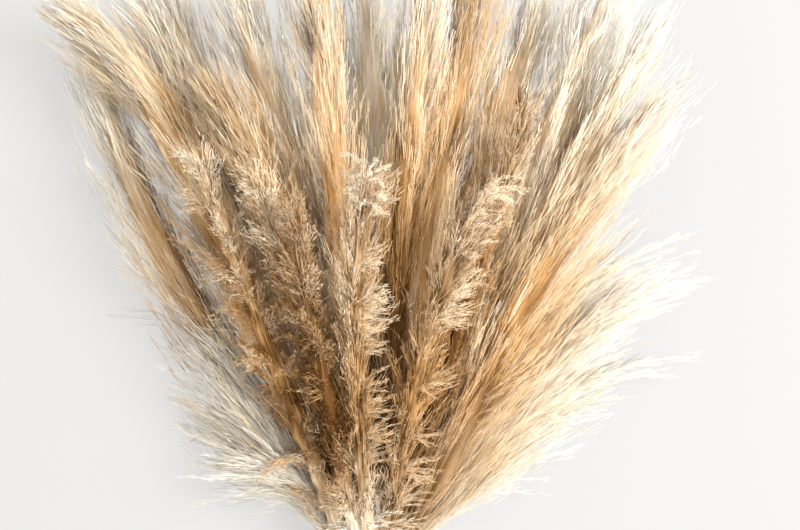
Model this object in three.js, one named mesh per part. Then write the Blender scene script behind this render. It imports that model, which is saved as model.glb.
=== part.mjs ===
// A bundle of dried pampas grass, lying on a table. Twenty-eight cut stalks are bound by one turn-over-turn twine tie.
// Each stalk is a slim culm that carries one plume. Below the tie the culms lie side by side, and above it they flare
// into a fan: the lowest layer lies along the table, and each layer above it rises more steeply.
// Lengths are in millimetres and angles in degrees. +Z is up, and the plumes point along +Y.
import * as THREE from "three";

// Culms
const TAIL = 350; // from the tie to the cut ends
const TAIL_STAGGER = 7; // step between the lengths at which the culms were cut
const CULM_RADIUS_CUT = 3.9;
const CULM_RADIUS_TIE = 3.4;
const CULM_RADIUS_PLUME = 2.4;
const CULM_PITCH = 7.1; // between neighbouring culms in the tie
const TAIL_SPREAD = 1.3; // how much wider the culms stand at the cut ends than in the tie
const CULM_SIDES = 8;

// The fan
const FLARE_START = 10; // above the tie, where the culms begin to turn outwards
const FLARE_END = 120; // where each culm has turned to its own direction
const PATH_STEP = 10; // of the sum that turns directions into a path

// Plumes
const PLUME_SIDES = 9;
const PLUME_SWELL = 0.18; // share of a plume's length over which it widens from its culm
const JOINT_GAP = 0.3; // between a culm's end and its plume, and between neighbours that touch

// Twine
const TWINE_RADIUS = 1.6;
const TWINE_TURNS = 5;
const TWINE_PITCH = 3.5;
const TWINE_STEPS_PER_TURN = 26;
const TWINE_SIDES = 6;
const TWINE_GAP = 0.5; // between the twine and the culms that it rides on
const KNOT_SIZE = new THREE.Vector3(13, 9, 7);

// The layers from the table upwards, each from left to right as seen from above.
// fan: the way the stalk points, left of +Y where negative. rise: its lift above the table. reach: from tie to tip.
// curl: how far the tip has turned aside from fan. start: where the plume begins. girth: the plume's greatest radius.
// late: the power of the share of the reach that the curl grows with, so a high one bends only the tip. Without it, 3.
const LAYERS = [
  [
    { fan: -34.5, rise: 2.5, reach: 402, curl: -31, start: 140, girth: 28 },
    { fan: -19.1, rise: 1.5, reach: 795, curl: -11, start: 175, girth: 36 },
    { fan: 3.3, rise: 1.5, reach: 693, curl: -4, start: 180, girth: 36 },
    { fan: 39, rise: 2.5, reach: 510, curl: 38, start: 135, girth: 32 },
  ],
  [
    { fan: -31.5, rise: 3.5, reach: 784, curl: 21, start: 150, girth: 38 },
    { fan: -18, rise: 5, reach: 785, curl: -2, start: 190, girth: 38 },
    { fan: -0.2, rise: 6, reach: 765, curl: -2, start: 200, girth: 38 },
    { fan: 14, rise: 6, reach: 780, curl: 5, start: 190, girth: 38 },
    { fan: 29, rise: 4, reach: 645, curl: 30, start: 140, girth: 36 },
  ],
  [
    { fan: -26.5, rise: 7, reach: 561, curl: -57, late: 4, start: 130, girth: 30 },
    { fan: -20.9, rise: 8, reach: 830, curl: -46, late: 6, start: 160, girth: 38 },
    { fan: -9.6, rise: 10, reach: 787, curl: -13, start: 200, girth: 38 },
    { fan: 8.5, rise: 11, reach: 790, curl: 3, start: 200, girth: 38 },
    { fan: 21, rise: 9, reach: 805, curl: -3, start: 170, girth: 38 },
    { fan: 33, rise: 7.5, reach: 628, curl: 32, start: 130, girth: 34 },
  ],
  [
    { fan: -23, rise: 12, reach: 335, curl: -138, late: 4, start: 110, girth: 22 },
    { fan: -9.4, rise: 14, reach: 683, curl: -26, start: 190, girth: 38 },
    { fan: -3.1, rise: 16, reach: 775, curl: -9, start: 210, girth: 38 },
    { fan: 4, rise: 16, reach: 790, curl: 4, start: 200, girth: 38 },
    { fan: 16, rise: 16, reach: 622, curl: -16, start: 300, girth: 12 },
    { fan: 22.8, rise: 12, reach: 793, curl: 7, start: 160, girth: 38 },
  ],
  [
    { fan: -20.4, rise: 18.5, reach: 632, curl: 2, start: 120, girth: 36 },
    { fan: -11.8, rise: 23, reach: 607, curl: -11, start: 125, girth: 34 },
    { fan: 17.5, rise: 17.5, reach: 672, curl: -4, start: 140, girth: 36 },
    { fan: 24, rise: 14, reach: 755, curl: 22, start: 140, girth: 38 },
  ],
  [
    { fan: -10.6, rise: 27, reach: 572, curl: 3, start: 110, girth: 32 },
    { fan: -5.4, rise: 28, reach: 600, curl: 20, start: 105, girth: 34 },
    { fan: 7.9, rise: 25.5, reach: 581, curl: 24, start: 110, girth: 34 },
  ],
];

const radians = THREE.MathUtils.degToRad;
const TWINE_BELOW = 2 * TWINE_RADIUS + TWINE_GAP + JOINT_GAP; // from the lowest culm to the table, in the tie

// Gives every stalk its name and its place in the tie: the layers stack as circles do, closer where they interlock.
function placeInTie(layers) {
  let height = TWINE_BELOW + CULM_RADIUS_TIE;
  const stalks = [];
  layers.forEach((layer, level) => {
    if (level > 0) {
      const interlocks = (layer.length + layers[level - 1].length) % 2 === 1;
      height += CULM_PITCH * (interlocks ? Math.sqrt(3) / 2 : 1);
    }
    layer.forEach((stalk, place) => {
      const label = String.fromCharCode(97 + level) + (place + 1);
      const across = (place - (layer.length - 1) / 2) * CULM_PITCH;
      const tail = TAIL + TAIL_STAGGER * (((3 * place + 2 * level) % 5) - 2);
      stalks.push({ ...stalk, label, across, height, tail });
    });
  });
  return stalks;
}

// The way that a stalk points, a given distance along it above the tie.
function heading(stalk, along) {
  const flare = THREE.MathUtils.smoothstep(along, FLARE_START, FLARE_END);
  const share = along / stalk.reach;
  const fan = radians(stalk.fan * flare + stalk.curl * share ** (stalk.late ?? 3));
  const rise = radians(stalk.rise * flare);
  return new THREE.Vector3(Math.sin(fan) * Math.cos(rise), Math.cos(fan) * Math.cos(rise), Math.sin(rise));
}

// A stalk's centre line as evenly spaced points, from its cut end through the tie to its tip.
function centreLine(stalk) {
  const lowest = TWINE_BELOW + CULM_RADIUS_TIE;
  const cutEnd = new THREE.Vector3(
    stalk.across * TAIL_SPREAD,
    -stalk.tail,
    CULM_RADIUS_CUT + (stalk.height - lowest) * TAIL_SPREAD,
  );
  const tie = new THREE.Vector3(stalk.across, 0, stalk.height);
  const points = [cutEnd, tie.clone().setY(-FLARE_START), tie.clone()];
  const at = tie.clone();
  for (let along = 0; along < stalk.reach; along += PATH_STEP) {
    const step = Math.min(PATH_STEP, stalk.reach - along);
    at.addScaledVector(heading(stalk, along + step / 2), step);
    points.push(at.clone());
  }
  return points;
}

// The point of a stalk's line a given distance above the tie, or below it where negative.
function pointAt(stalk, along) {
  if (along <= -FLARE_START) {
    const share = (along + FLARE_START) / (FLARE_START - stalk.tail);
    return stalk.line[1].clone().lerp(stalk.line[0], share);
  }
  if (along <= 0) return stalk.line[2].clone().setY(along);
  const place = Math.min(along / PATH_STEP, stalk.line.length - 3);
  const before = Math.min(Math.floor(place), stalk.line.length - 4);
  return stalk.line[before + 2].clone().lerp(stalk.line[before + 3], place - before);
}

// How wide a stalk may be at a point, so that it keeps clear of all the others. Two plumes share the room between
// their lines equally, and a plume leaves a bare culm its own radius.
function roomAt(point, stalk, stalks) {
  let room = Infinity;
  for (const other of stalks) {
    if (other === stalk) continue;
    for (let i = 1; i < other.line.length; i++) {
      const segment = new THREE.Line3(other.line[i - 1], other.line[i]);
      const distance = segment.closestPointToPoint(point, true, new THREE.Vector3()).distanceTo(point);
      const bare = (i - 2) * PATH_STEP < other.start;
      room = Math.min(room, bare ? distance - CULM_RADIUS_TIE - JOINT_GAP : (distance - JOINT_GAP) / 2);
    }
  }
  return room;
}

// A lathe turned about a stalk's line: each [radius, distance along] pair of the profile becomes a ring square to it.
// What would reach below the table is flattened against it.
function latheAlong(stalk, profile, sides) {
  const geometry = new THREE.LatheGeometry(profile.map(([radius, along]) => new THREE.Vector2(radius, along)), sides);
  const position = geometry.getAttribute("position");
  for (let i = 0; i < position.count; i++) {
    const along = position.getY(i);
    const tangent = pointAt(stalk, along + 1).sub(pointAt(stalk, along - 1)).normalize();
    const side = new THREE.Vector3().crossVectors(tangent, new THREE.Vector3(0, 0, 1)).normalize();
    const up = new THREE.Vector3().crossVectors(side, tangent);
    const moved = pointAt(stalk, along);
    moved.addScaledVector(side, position.getX(i)).addScaledVector(up, position.getZ(i));
    position.setXYZ(i, moved.x, moved.y, Math.max(moved.z, 0));
  }
  geometry.computeVertexNormals();
  return geometry;
}

// A culm tapers evenly from its cut end to its plume, and both of its ends are flat.
function culmGeometry(stalk) {
  const end = stalk.start - JOINT_GAP;
  const bends = [-FLARE_START, FLARE_START, FLARE_START + 35, FLARE_START + 70, FLARE_END + 15];
  const stations = [-stalk.tail, ...bends.filter((along) => along < end - 10), end];
  const radiusAt = (along) =>
    along < 0
      ? THREE.MathUtils.mapLinear(along, -stalk.tail, -FLARE_START, CULM_RADIUS_CUT, CULM_RADIUS_TIE)
      : THREE.MathUtils.mapLinear(along, 0, end, CULM_RADIUS_TIE, CULM_RADIUS_PLUME);
  const wall = stations.map((along) => [Math.min(radiusAt(along), CULM_RADIUS_CUT), along]);
  return latheAlong(stalk, [[0, -stalk.tail], ...wall, [0, end]], CULM_SIDES);
}

// A plume swells quickly from its culm and then narrows to its tip, as far as its neighbours leave it room.
function plumeGeometry(stalk, stalks) {
  const length = stalk.reach - stalk.start;
  const shares = [0, 0.05, 0.13, 0.23, 0.34, 0.45, 0.56, 0.67, 0.78, 0.88, 0.96];
  const wall = shares.map((share) => {
    const along = stalk.start + share * length;
    const swell = Math.min(1, share / PLUME_SWELL) ** 0.7;
    const free = CULM_RADIUS_PLUME + stalk.girth * swell * (1 - share) ** 0.55;
    return [Math.min(free, roomAt(pointAt(stalk, along), stalk, stalks)), along];
  });
  return latheAlong(stalk, [[0, stalk.start], ...wall, [0, stalk.reach]], PLUME_SIDES);
}

// The twine's route round the culms in the tie: at each angle it rides on the culm that stands out furthest that way.
function twineRoute(stalks) {
  const out = CULM_RADIUS_TIE + TWINE_GAP + TWINE_RADIUS;
  const points = [];
  for (let i = 0; i <= TWINE_TURNS * TWINE_STEPS_PER_TURN; i++) {
    const turns = i / TWINE_STEPS_PER_TURN;
    const angle = 2 * Math.PI * turns + Math.PI / 2;
    const [x, z] = [Math.cos(angle), Math.sin(angle)];
    const standsOut = (stalk) => stalk.across * x + stalk.height * z;
    const furthest = stalks.reduce((best, stalk) => (standsOut(stalk) > standsOut(best) ? stalk : best));
    const y = (turns - TWINE_TURNS / 2) * TWINE_PITCH;
    points.push(new THREE.Vector3(furthest.across + out * x, y, furthest.height + out * z));
  }
  return new THREE.CatmullRomCurve3(points, false, "centripetal");
}

function twineGeometry(stalks) {
  const section = new THREE.Shape().absarc(0, 0, TWINE_RADIUS, 0, 2 * Math.PI, false);
  return new THREE.ExtrudeGeometry(section, {
    steps: TWINE_TURNS * TWINE_STEPS_PER_TURN,
    curveSegments: TWINE_SIDES,
    extrudePath: twineRoute(stalks),
  });
}

function knotMesh(stalks, material) {
  const top = Math.max(...stalks.map((stalk) => stalk.height)) + CULM_RADIUS_TIE + TWINE_GAP + 2 * TWINE_RADIUS;
  const knot = new THREE.Mesh(new THREE.SphereGeometry(0.5, 10, 6), material);
  knot.scale.copy(KNOT_SIZE);
  knot.position.set(0, 0, top + JOINT_GAP + KNOT_SIZE.z / 2);
  return knot;
}

const culmFinish = new THREE.MeshStandardMaterial({ color: 0xc2a760, roughness: 0.55, metalness: 0 });
const plumeFinish = new THREE.MeshStandardMaterial({ color: 0xd9c3a0, roughness: 0.95, metalness: 0 });
const twineFinish = new THREE.MeshStandardMaterial({ color: 0xa5855a, roughness: 0.9, metalness: 0 });

const stalks = placeInTie(LAYERS);
for (const stalk of stalks) stalk.line = centreLine(stalk);

const bundle = new THREE.Group();
function add(name, mesh) {
  mesh.name = name;
  bundle.add(mesh);
}
for (const stalk of stalks) {
  add("culm_" + stalk.label, new THREE.Mesh(culmGeometry(stalk), culmFinish));
  add("plume_" + stalk.label, new THREE.Mesh(plumeGeometry(stalk, stalks), plumeFinish));
}
add("twine_winding", new THREE.Mesh(twineGeometry(stalks), twineFinish));
add("twine_knot", knotMesh(stalks, twineFinish));

// The origin is on the table, below the middle of the bundle.
bundle.updateMatrixWorld(true);
const middle = new THREE.Box3().setFromObject(bundle, true).getCenter(new THREE.Vector3());
bundle.position.set(-middle.x, -middle.y, 0);

export default bundle;
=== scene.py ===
"""A bundle of dried pampas grass, lying on its side on a pale floor.

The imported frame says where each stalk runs. Round it this script grows what the frame's plain solids
stand for: a plume is a rachis with branches that sweep towards its tip, and every branch is feathered
with fine hairs. A stem is a jointed culm with what is left of a leaf's sheath, and the tie is a three-ply
twine wound round the stems and knotted.

Every strand is a closed, tapered solid. Lengths are in metres, +Z is up, and the plumes point along +Y.
"""

import logging
import zlib
from dataclasses import dataclass, field
from enum import Enum

import bpy
import numpy as np
from numpy.typing import NDArray
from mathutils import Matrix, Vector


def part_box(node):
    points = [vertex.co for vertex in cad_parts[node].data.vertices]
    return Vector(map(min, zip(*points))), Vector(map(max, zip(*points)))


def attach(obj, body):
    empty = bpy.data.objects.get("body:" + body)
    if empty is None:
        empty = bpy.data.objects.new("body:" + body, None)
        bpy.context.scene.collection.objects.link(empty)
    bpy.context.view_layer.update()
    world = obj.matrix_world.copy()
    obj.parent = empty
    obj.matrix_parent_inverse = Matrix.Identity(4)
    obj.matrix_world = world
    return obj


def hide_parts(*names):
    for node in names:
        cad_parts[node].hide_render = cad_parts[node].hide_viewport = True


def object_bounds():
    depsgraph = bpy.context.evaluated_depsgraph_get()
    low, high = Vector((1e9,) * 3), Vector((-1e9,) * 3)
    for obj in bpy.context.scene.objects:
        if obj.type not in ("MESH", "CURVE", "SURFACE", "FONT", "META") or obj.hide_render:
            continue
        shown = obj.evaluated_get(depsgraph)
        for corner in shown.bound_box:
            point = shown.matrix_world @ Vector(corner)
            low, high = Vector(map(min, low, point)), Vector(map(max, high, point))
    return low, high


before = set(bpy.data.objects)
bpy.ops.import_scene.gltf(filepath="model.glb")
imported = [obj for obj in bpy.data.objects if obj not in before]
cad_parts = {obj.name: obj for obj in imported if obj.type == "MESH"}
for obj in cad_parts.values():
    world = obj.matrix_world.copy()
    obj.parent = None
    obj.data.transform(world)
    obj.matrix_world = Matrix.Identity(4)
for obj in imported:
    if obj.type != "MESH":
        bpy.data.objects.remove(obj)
CAD_LOW, CAD_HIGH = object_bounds()

Array = NDArray[np.float64]
Indices = NDArray[np.int64]

log = logging.getLogger("pampas_bundle")

MM = 0.001
UP = np.array([0.0, 0.0, 1.0])
TONE_MAP = "OFBake"  # the UV map that holds each corner's tone and warmth
FULL_TURN = 2.0 * np.pi
GOLDEN_ANGLE = np.pi * (3.0 - np.sqrt(5.0))
LEAST_LENGTH = 1e-12  # what a vector's length is taken as, at least, so that nothing is divided by zero
OFF_AXIS = 1e-9  # keeps a cross product of two parallel directions from vanishing


def unit(vectors: Array) -> Array:
    """Scales vectors to length one: each vector over its own length."""
    return vectors / np.maximum(np.linalg.norm(vectors, axis=-1, keepdims=True), LEAST_LENGTH)


def spokes(turn: Array, level: Array, lean: Array) -> Array:
    """Gives the directions at turns from level towards lean: cosine times level plus sine times lean."""
    return np.cos(turn)[..., None] * level + np.sin(turn)[..., None] * lean


def hermite(t: Array, start: Array, end: Array, leave: Array, arrive: Array) -> Array:
    """Runs smooth cubic curves between pairs of points.

    A curve is the sum of its two ends and its two slopes there, each times its own Hermite cubic of t.

    Args:
        t: The share of the way from the start to the end.
        start: Where the curves start.
        end: Where they end.
        leave: Their slopes at the start.
        arrive: Their slopes at the end.

    Returns:
        The points at t.
    """
    return (
        (2 * t**3 - 3 * t**2 + 1) * start
        + (t**3 - 2 * t**2 + t) * leave
        + (3 * t**2 - 2 * t**3) * end
        + (t**3 - t**2) * arrive
    )


def seeded(label: str) -> np.random.Generator:
    """Gives the same random numbers for the same label on every run."""
    return np.random.default_rng(zlib.crc32(label.encode()))


def corners_of(node: str) -> Array:
    """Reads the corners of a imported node.

    Args:
        node: The node's name.

    Returns:
        Its distinct corners, as an array of shape (corners, 3).
    """
    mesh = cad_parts[node].data
    found = np.empty(len(mesh.vertices) * 3, np.float32)
    mesh.vertices.foreach_get("co", found)
    return np.unique(found.reshape(-1, 3).round(6), axis=0).astype(float)


# --------------------------------------------------------------------------------------------------
# Lines
# --------------------------------------------------------------------------------------------------


@dataclass(frozen=True)
class PlumeLine:
    """A plume's centre line, as one polynomial for each of x, y and z over the share of its length.

    Attributes:
        terms: The polynomials' coefficients, lowest power first, of shape (coefficients, 3).
        length: The line's length.
    """

    terms: Array
    length: float

    @classmethod
    def through(cls, node: str, tie: Array, powers: int = 4) -> "PlumeLine":
        """Fits the line through a plume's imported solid.

        The rings of the solid are square to its line, so their corners lie evenly round it. The fit is
        least squares of the corners over their place along the chord, with its two ends held by their
        weight.

        Args:
            node: The plume's node.
            tie: The middle of the tie, which the plume points away from.
            powers: The highest power of the polynomials.

        Returns:
            The fitted line.
        """
        foot_ring, end_weight, pieces = 3 * MM, 60.0, 64
        corners = corners_of(node)
        away = np.linalg.norm(corners - tie, axis=1)
        tip = corners[away.argmax()]
        foot = corners[away < away.min() + foot_ring].mean(axis=0)
        chord = tip - foot
        share = (corners - foot) @ chord / (chord @ chord)
        share = np.concatenate([share, [0.0, 1.0]])
        corners = np.vstack([corners, foot, tip])
        weight = np.ones(len(share))
        weight[-2:] = end_weight
        terms = np.polynomial.polynomial.polyfit(share, corners, powers, w=weight)
        steps = np.linspace(0, 1, pieces + 1)
        points = np.polynomial.polynomial.polyval(steps, terms).T
        length = np.linalg.norm(np.diff(points, axis=0), axis=1).sum()
        return cls(terms, float(length))

    def at(self, share: Array) -> Array:
        """Places shares of the length on the line, which runs on straight past its tip.

        Args:
            share: Shares of any shape, from 0 at the foot to 1 at the tip and beyond.

        Returns:
            Points, with one more axis than the shares.
        """
        held = np.clip(share, 0.0, 1.0)
        points = np.moveaxis(np.polynomial.polynomial.polyval(held, self.terms), 0, -1)
        return points + self.heading(share) * (share - held)[..., None] * self.length

    def heading(self, share: Array) -> Array:
        """Works out the line's directions from the polynomials' slopes.

        Args:
            share: Shares of the line's length, of any shape.

        Returns:
            Unit directions, with one more axis than the shares.
        """
        slopes = np.polynomial.polynomial.polyder(self.terms)
        slope = np.polynomial.polynomial.polyval(np.clip(share, 0.0, 1.0), slopes)
        return unit(np.moveaxis(slope, 0, -1))

    def across(self, share: Array) -> tuple[Array, Array]:
        """Works out two directions square to the line: one level, and one that leans up from the floor.

        Args:
            share: Shares of the line's length, of any shape.

        Returns:
            Both unit directions, each with one more axis than the shares.
        """
        heading = self.heading(share)
        level = unit(np.cross(heading, UP))
        return level, np.cross(level, heading)

    def outward(self, points: Array) -> Array:
        """Gives the unit directions in which points stand out from the line, turned a little up.

        Each point's place on the line is taken along its chord, and then put right by how far ahead the
        point is.

        Args:
            points: Points round the line, of shape (points, 3).

        Returns:
            One unit direction for each point.
        """
        corrections, rise = 2, 0.8
        foot, tip = self.at(np.array([0.0, 1.0]))
        chord = tip - foot
        share = (points - foot) @ chord / (chord @ chord)
        for _ in range(corrections):
            offset = points - self.at(share)
            heading = self.heading(share)
            ahead = (offset * heading).sum(axis=1)
            share = share + ahead / self.length
        return unit(unit(offset - ahead[:, None] * heading) + rise * UP)


@dataclass(frozen=True)
class StemLine:
    """A culm's centre line: the middles of its packed rings, joined by smooth cubic stretches.

    Attributes:
        knots: The rings' middles, from the cut end upwards.
        along: How far along the line each knot is.
        radii: The rings' radii.
    """

    knots: Array
    along: Array
    radii: Array

    @classmethod
    def through(cls, node: str) -> "StemLine":
        """Finds the middles and radii of a culm's rings, which lie apart along +Y.

        Args:
            node: The culm's node.

        Returns:
            The line through them.
        """
        least_gap = 6 * MM
        corners = corners_of(node)
        corners = corners[corners[:, 1].argsort()]
        breaks = np.flatnonzero(np.diff(corners[:, 1]) > least_gap) + 1
        rings = np.split(corners, breaks)
        knots = np.array([(ring.min(axis=0) + ring.max(axis=0)) / 2 for ring in rings])
        pairs = zip(rings, knots, strict=True)
        radii = np.array([np.linalg.norm(ring - knot, axis=1).max() for ring, knot in pairs])
        spans = np.linalg.norm(np.diff(knots, axis=0), axis=1)
        return cls(knots, np.concatenate([[0.0], spans.cumsum()]), radii)

    @property
    def length(self) -> float:
        """The line's length."""
        return float(self.along[-1])

    def at(self, along: Array) -> Array:
        """Places distances from the cut end on the line.

        Each stretch is a cubic Hermite curve: its ends are two knots, and its slopes there are the
        slopes from each knot's neighbour on one side to its neighbour on the other.

        Args:
            along: Distances from the cut end.

        Returns:
            One point for each distance.
        """
        slopes = np.gradient(self.knots, self.along, axis=0)
        which = np.clip(np.searchsorted(self.along, along, side="right") - 1, 0, len(self.along) - 2)
        span = self.along[which + 1] - self.along[which]
        t = ((along - self.along[which]) / span)[:, None]
        start, end = self.knots[which], self.knots[which + 1]
        leave, arrive = slopes[which] * span[:, None], slopes[which + 1] * span[:, None]
        return hermite(t, start, end, leave, arrive)


# --------------------------------------------------------------------------------------------------
# Closed strands
# --------------------------------------------------------------------------------------------------

# How far a ring's and a hair's corners lie apart in tone, so that no face is without area on the tone map.
RING_SPREAD = 0.003
HAIR_SPREAD = 0.006
TONE_LIMITS = (0.01, 0.99)
INNER_SHADE = 0.05  # how much darker a thin wall is inside
ROLL_PACE = 37.0  # how fast the way that a hair's edge faces turns with its width


@dataclass
class Strands:
    """Closed strands that become one mesh.

    Each corner has a tone, from dark to light, and a warmth, from grey to gold.

    Attributes:
        points: Batches of corners.
        faces: Batches of triangles, already numbered for the whole mesh.
        tones: Batches of (tone, warmth) pairs, one for each corner.
        count: How many corners there are.
    """

    points: list[Array] = field(default_factory=list)
    faces: list[Indices] = field(default_factory=list)
    tones: list[Array] = field(default_factory=list)
    count: int = 0

    @property
    def triangles(self) -> int:
        """How many triangles there are."""
        return sum(len(batch) for batch in self.faces)

    def add(self, points: Array, faces: Indices, tones: Array) -> None:
        """Takes a batch of corners with their triangles.

        Args:
            points: Corners, of shape (corners, 3).
            faces: Triangles, numbered within the batch.
            tones: The corners' tones and warmths, of shape (corners, 2).
        """
        self.points.append(points)
        self.faces.append(faces + self.count)
        self.tones.append(tones)
        self.count += len(points)

    def add_tubes(
        self,
        paths: Array,
        radii: Array,
        tones: Array,
        sides: int = 3,
        beside: Array = UP,
    ) -> None:
        """Adds tubes that taper to a point.

        A tube is a regular polygon of the given radius, square to its path at each step but the last,
        where it closes in a point. The first ring is closed by a fan.

        Args:
            paths: The tubes' middles, of shape (tubes, steps, 3).
            radii: Their radii, of shape (tubes, steps).
            tones: Their tones and warmths, of shape (tubes, steps, 2).
            sides: The polygon's corners.
            beside: A direction that the paths never run in, from which the polygons' turns are counted.
        """
        heading = unit(np.gradient(paths, axis=1))
        level = unit(np.cross(heading, beside) + OFF_AXIS)
        lean = np.cross(level, heading)
        turn = FULL_TURN * np.arange(sides) / sides
        spoke = spokes(turn, level[:, :, None], lean[:, :, None])
        rings = (paths[:, :, None] + spoke * radii[:, :, None, None])[:, :-1]
        ring_tones = tones[:, :-1, None] + RING_SPREAD * np.stack([np.sin(turn), np.cos(turn)], axis=1)
        self.add_rings(rings, paths[:, -1], ring_tones, tones[:, -1])

    def add_rings(self, rings: Array, tips: Array, ring_tones: Array, tip_tones: Array) -> None:
        """Adds closed skins, each drawn over rings of points and in to a point.

        The first ring is closed by a fan.

        Args:
            rings: The rings, of shape (skins, rows, columns, 3).
            tips: The points that the skins close in, of shape (skins, 3).
            ring_tones: The rings' tones and warmths, of shape (skins, rows, columns, 2).
            tip_tones: The tips' tones and warmths, of shape (skins, 2).
        """
        skins, rows, columns, _ = rings.shape
        per_skin = rows * columns + 1
        points = np.concatenate([rings.reshape(skins, -1, 3), tips[:, None]], axis=1)
        tones = np.concatenate([ring_tones.reshape(skins, -1, 2), tip_tones[:, None]], axis=1)
        here = np.arange(columns)
        after = (here + 1) % columns
        low = (np.arange(rows - 1) * columns)[:, None]
        up = low + columns
        walls = np.stack([low + here, up + here, low + after, low + after, up + here, up + after], axis=-1)
        last = (rows - 1) * columns
        point = np.stack([last + here, np.full(columns, per_skin - 1), last + after], axis=-1)
        cap = np.stack([np.zeros(columns - 2, int), here[1:-1], here[2:]], axis=-1)
        pattern = np.concatenate([walls.reshape(-1, 3), point, cap])
        faces = (pattern + (np.arange(skins) * per_skin)[:, None, None]).reshape(-1, 3)
        self.add(points.reshape(-1, 3), faces, tones.reshape(-1, 2))

    def add_slivers(
        self,
        roots: Array,
        rays: Array,
        widths: Array,
        root_tones: Array,
        tip_tones: Array,
        point: float = 0.6,
    ) -> None:
        """Adds straight hairs, each a slim closed sliver with four corners.

        Two corners are an edge across the root, and two are a shorter edge across the tip, a quarter
        turn from the first, so that a hair looks about as wide from every side. Which way the first
        edge faces follows from the hair's width, and so differs from hair to hair.

        Args:
            roots: The hairs' feet, of shape (hairs, 3).
            rays: From each foot to its tip.
            widths: The hairs' widths at the foot.
            root_tones: Tones and warmths at the feet, of shape (hairs, 2).
            tip_tones: Tones and warmths at the tips.
            point: The tip's width, against the foot's.
        """
        heading = unit(rays)
        roll = ROLL_PACE * widths / MM
        facing = np.stack([np.sin(roll), np.cos(roll), np.full(len(roll), 0.3)], axis=1)
        first = unit(np.cross(heading, facing) + OFF_AXIS)
        second = np.cross(heading, first)
        across_root = first * (widths / 2)[:, None]
        across_tip = second * (widths * point / 2)[:, None]
        tips = roots + rays
        corners = (roots - across_root, roots + across_root, tips - across_tip, tips + across_tip)
        points = np.stack(corners, axis=1)
        shift = HAIR_SPREAD * np.array([[1.0, 0.0], [-1.0, 0.3], [0.0, 1.0], [0.3, -1.0]])
        tones = np.stack([root_tones, root_tones, tip_tones, tip_tones], axis=1) + shift
        pattern = np.array([[0, 1, 2], [0, 3, 1], [0, 2, 3], [1, 3, 2]])
        faces = (pattern + (np.arange(len(roots)) * 4)[:, None, None]).reshape(-1, 3)
        self.add(points.reshape(-1, 3), faces, tones.reshape(-1, 2))

    def add_bent_hairs(
        self,
        roots: Array,
        rays: Array,
        bends: Array,
        widths: Array,
        root_tones: Array,
        tip_tones: Array,
    ) -> None:
        """Adds hairs that bend halfway: two slim pyramids that share a three-cornered middle.

        Args:
            roots: The hairs' feet, of shape (hairs, 3).
            rays: From each foot to its tip.
            bends: From the middle of each ray to the middle of its hair.
            widths: The hairs' widths at their middles.
            root_tones: Tones and warmths at the feet, of shape (hairs, 2).
            tip_tones: Tones and warmths at the tips.
        """
        level = unit(np.cross(rays, bends) + OFF_AXIS)
        lean = np.cross(level, unit(rays))
        turn = FULL_TURN * np.arange(3)[:, None] / 3
        spoke = spokes(turn, level, lean) * (widths / 2)[:, None]
        middles = (roots + 0.5 * rays + bends + spoke).transpose(1, 0, 2)
        points = np.concatenate([roots[:, None], middles, (roots + rays)[:, None]], axis=1)
        shift = HAIR_SPREAD * np.array([[0.0, 0.0], [1.0, 0.0], [-1.0, 0.3], [0.0, 1.0], [0.3, -1.0]])
        middle_tones = (root_tones + tip_tones) / 2
        tones = np.stack([root_tones, middle_tones, middle_tones, middle_tones, tip_tones], axis=1) + shift
        pattern = np.array([[0, 1, 2], [0, 2, 3], [0, 3, 1], [4, 2, 1], [4, 3, 2], [4, 1, 3]])
        faces = (pattern + (np.arange(len(roots)) * 5)[:, None, None]).reshape(-1, 3)
        self.add(points.reshape(-1, 3), faces, tones.reshape(-1, 2))

    def add_shell(self, outer: Array, inner: Array, tones: Array) -> None:
        """Adds a thin wall between two grids of points, closed along its four edges.

        Args:
            outer: The outer face, of shape (rows, columns, 3). The rows go along, and the columns
                clockwise round.
            inner: The inner face, point for point behind the outer one.
            tones: The outer face's tones and warmths, of shape (rows, columns, 2).
        """
        rows, columns, _ = outer.shape
        grid = np.arange(rows * columns).reshape(rows, columns)
        corners = (grid[:-1, :-1], grid[1:, :-1], grid[1:, 1:], grid[:-1, 1:])
        front = np.stack(corners, axis=-1).reshape(-1, 4)
        edge = np.concatenate([grid[:-1, 0], grid[-1, :-1], grid[:0:-1, -1], grid[0, :0:-1]])
        after = np.roll(edge, -1)
        behind = rows * columns
        walls = np.stack([after, edge, edge + behind, after + behind], axis=-1)
        quads = np.concatenate([front, front[:, ::-1] + behind, walls])
        faces = np.concatenate([quads[:, [0, 1, 2]], quads[:, [0, 2, 3]]])
        points = np.concatenate([outer.reshape(-1, 3), inner.reshape(-1, 3)])
        both = np.concatenate([tones.reshape(-1, 2), tones.reshape(-1, 2) - INNER_SHADE])
        self.add(points, faces, both)

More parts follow.
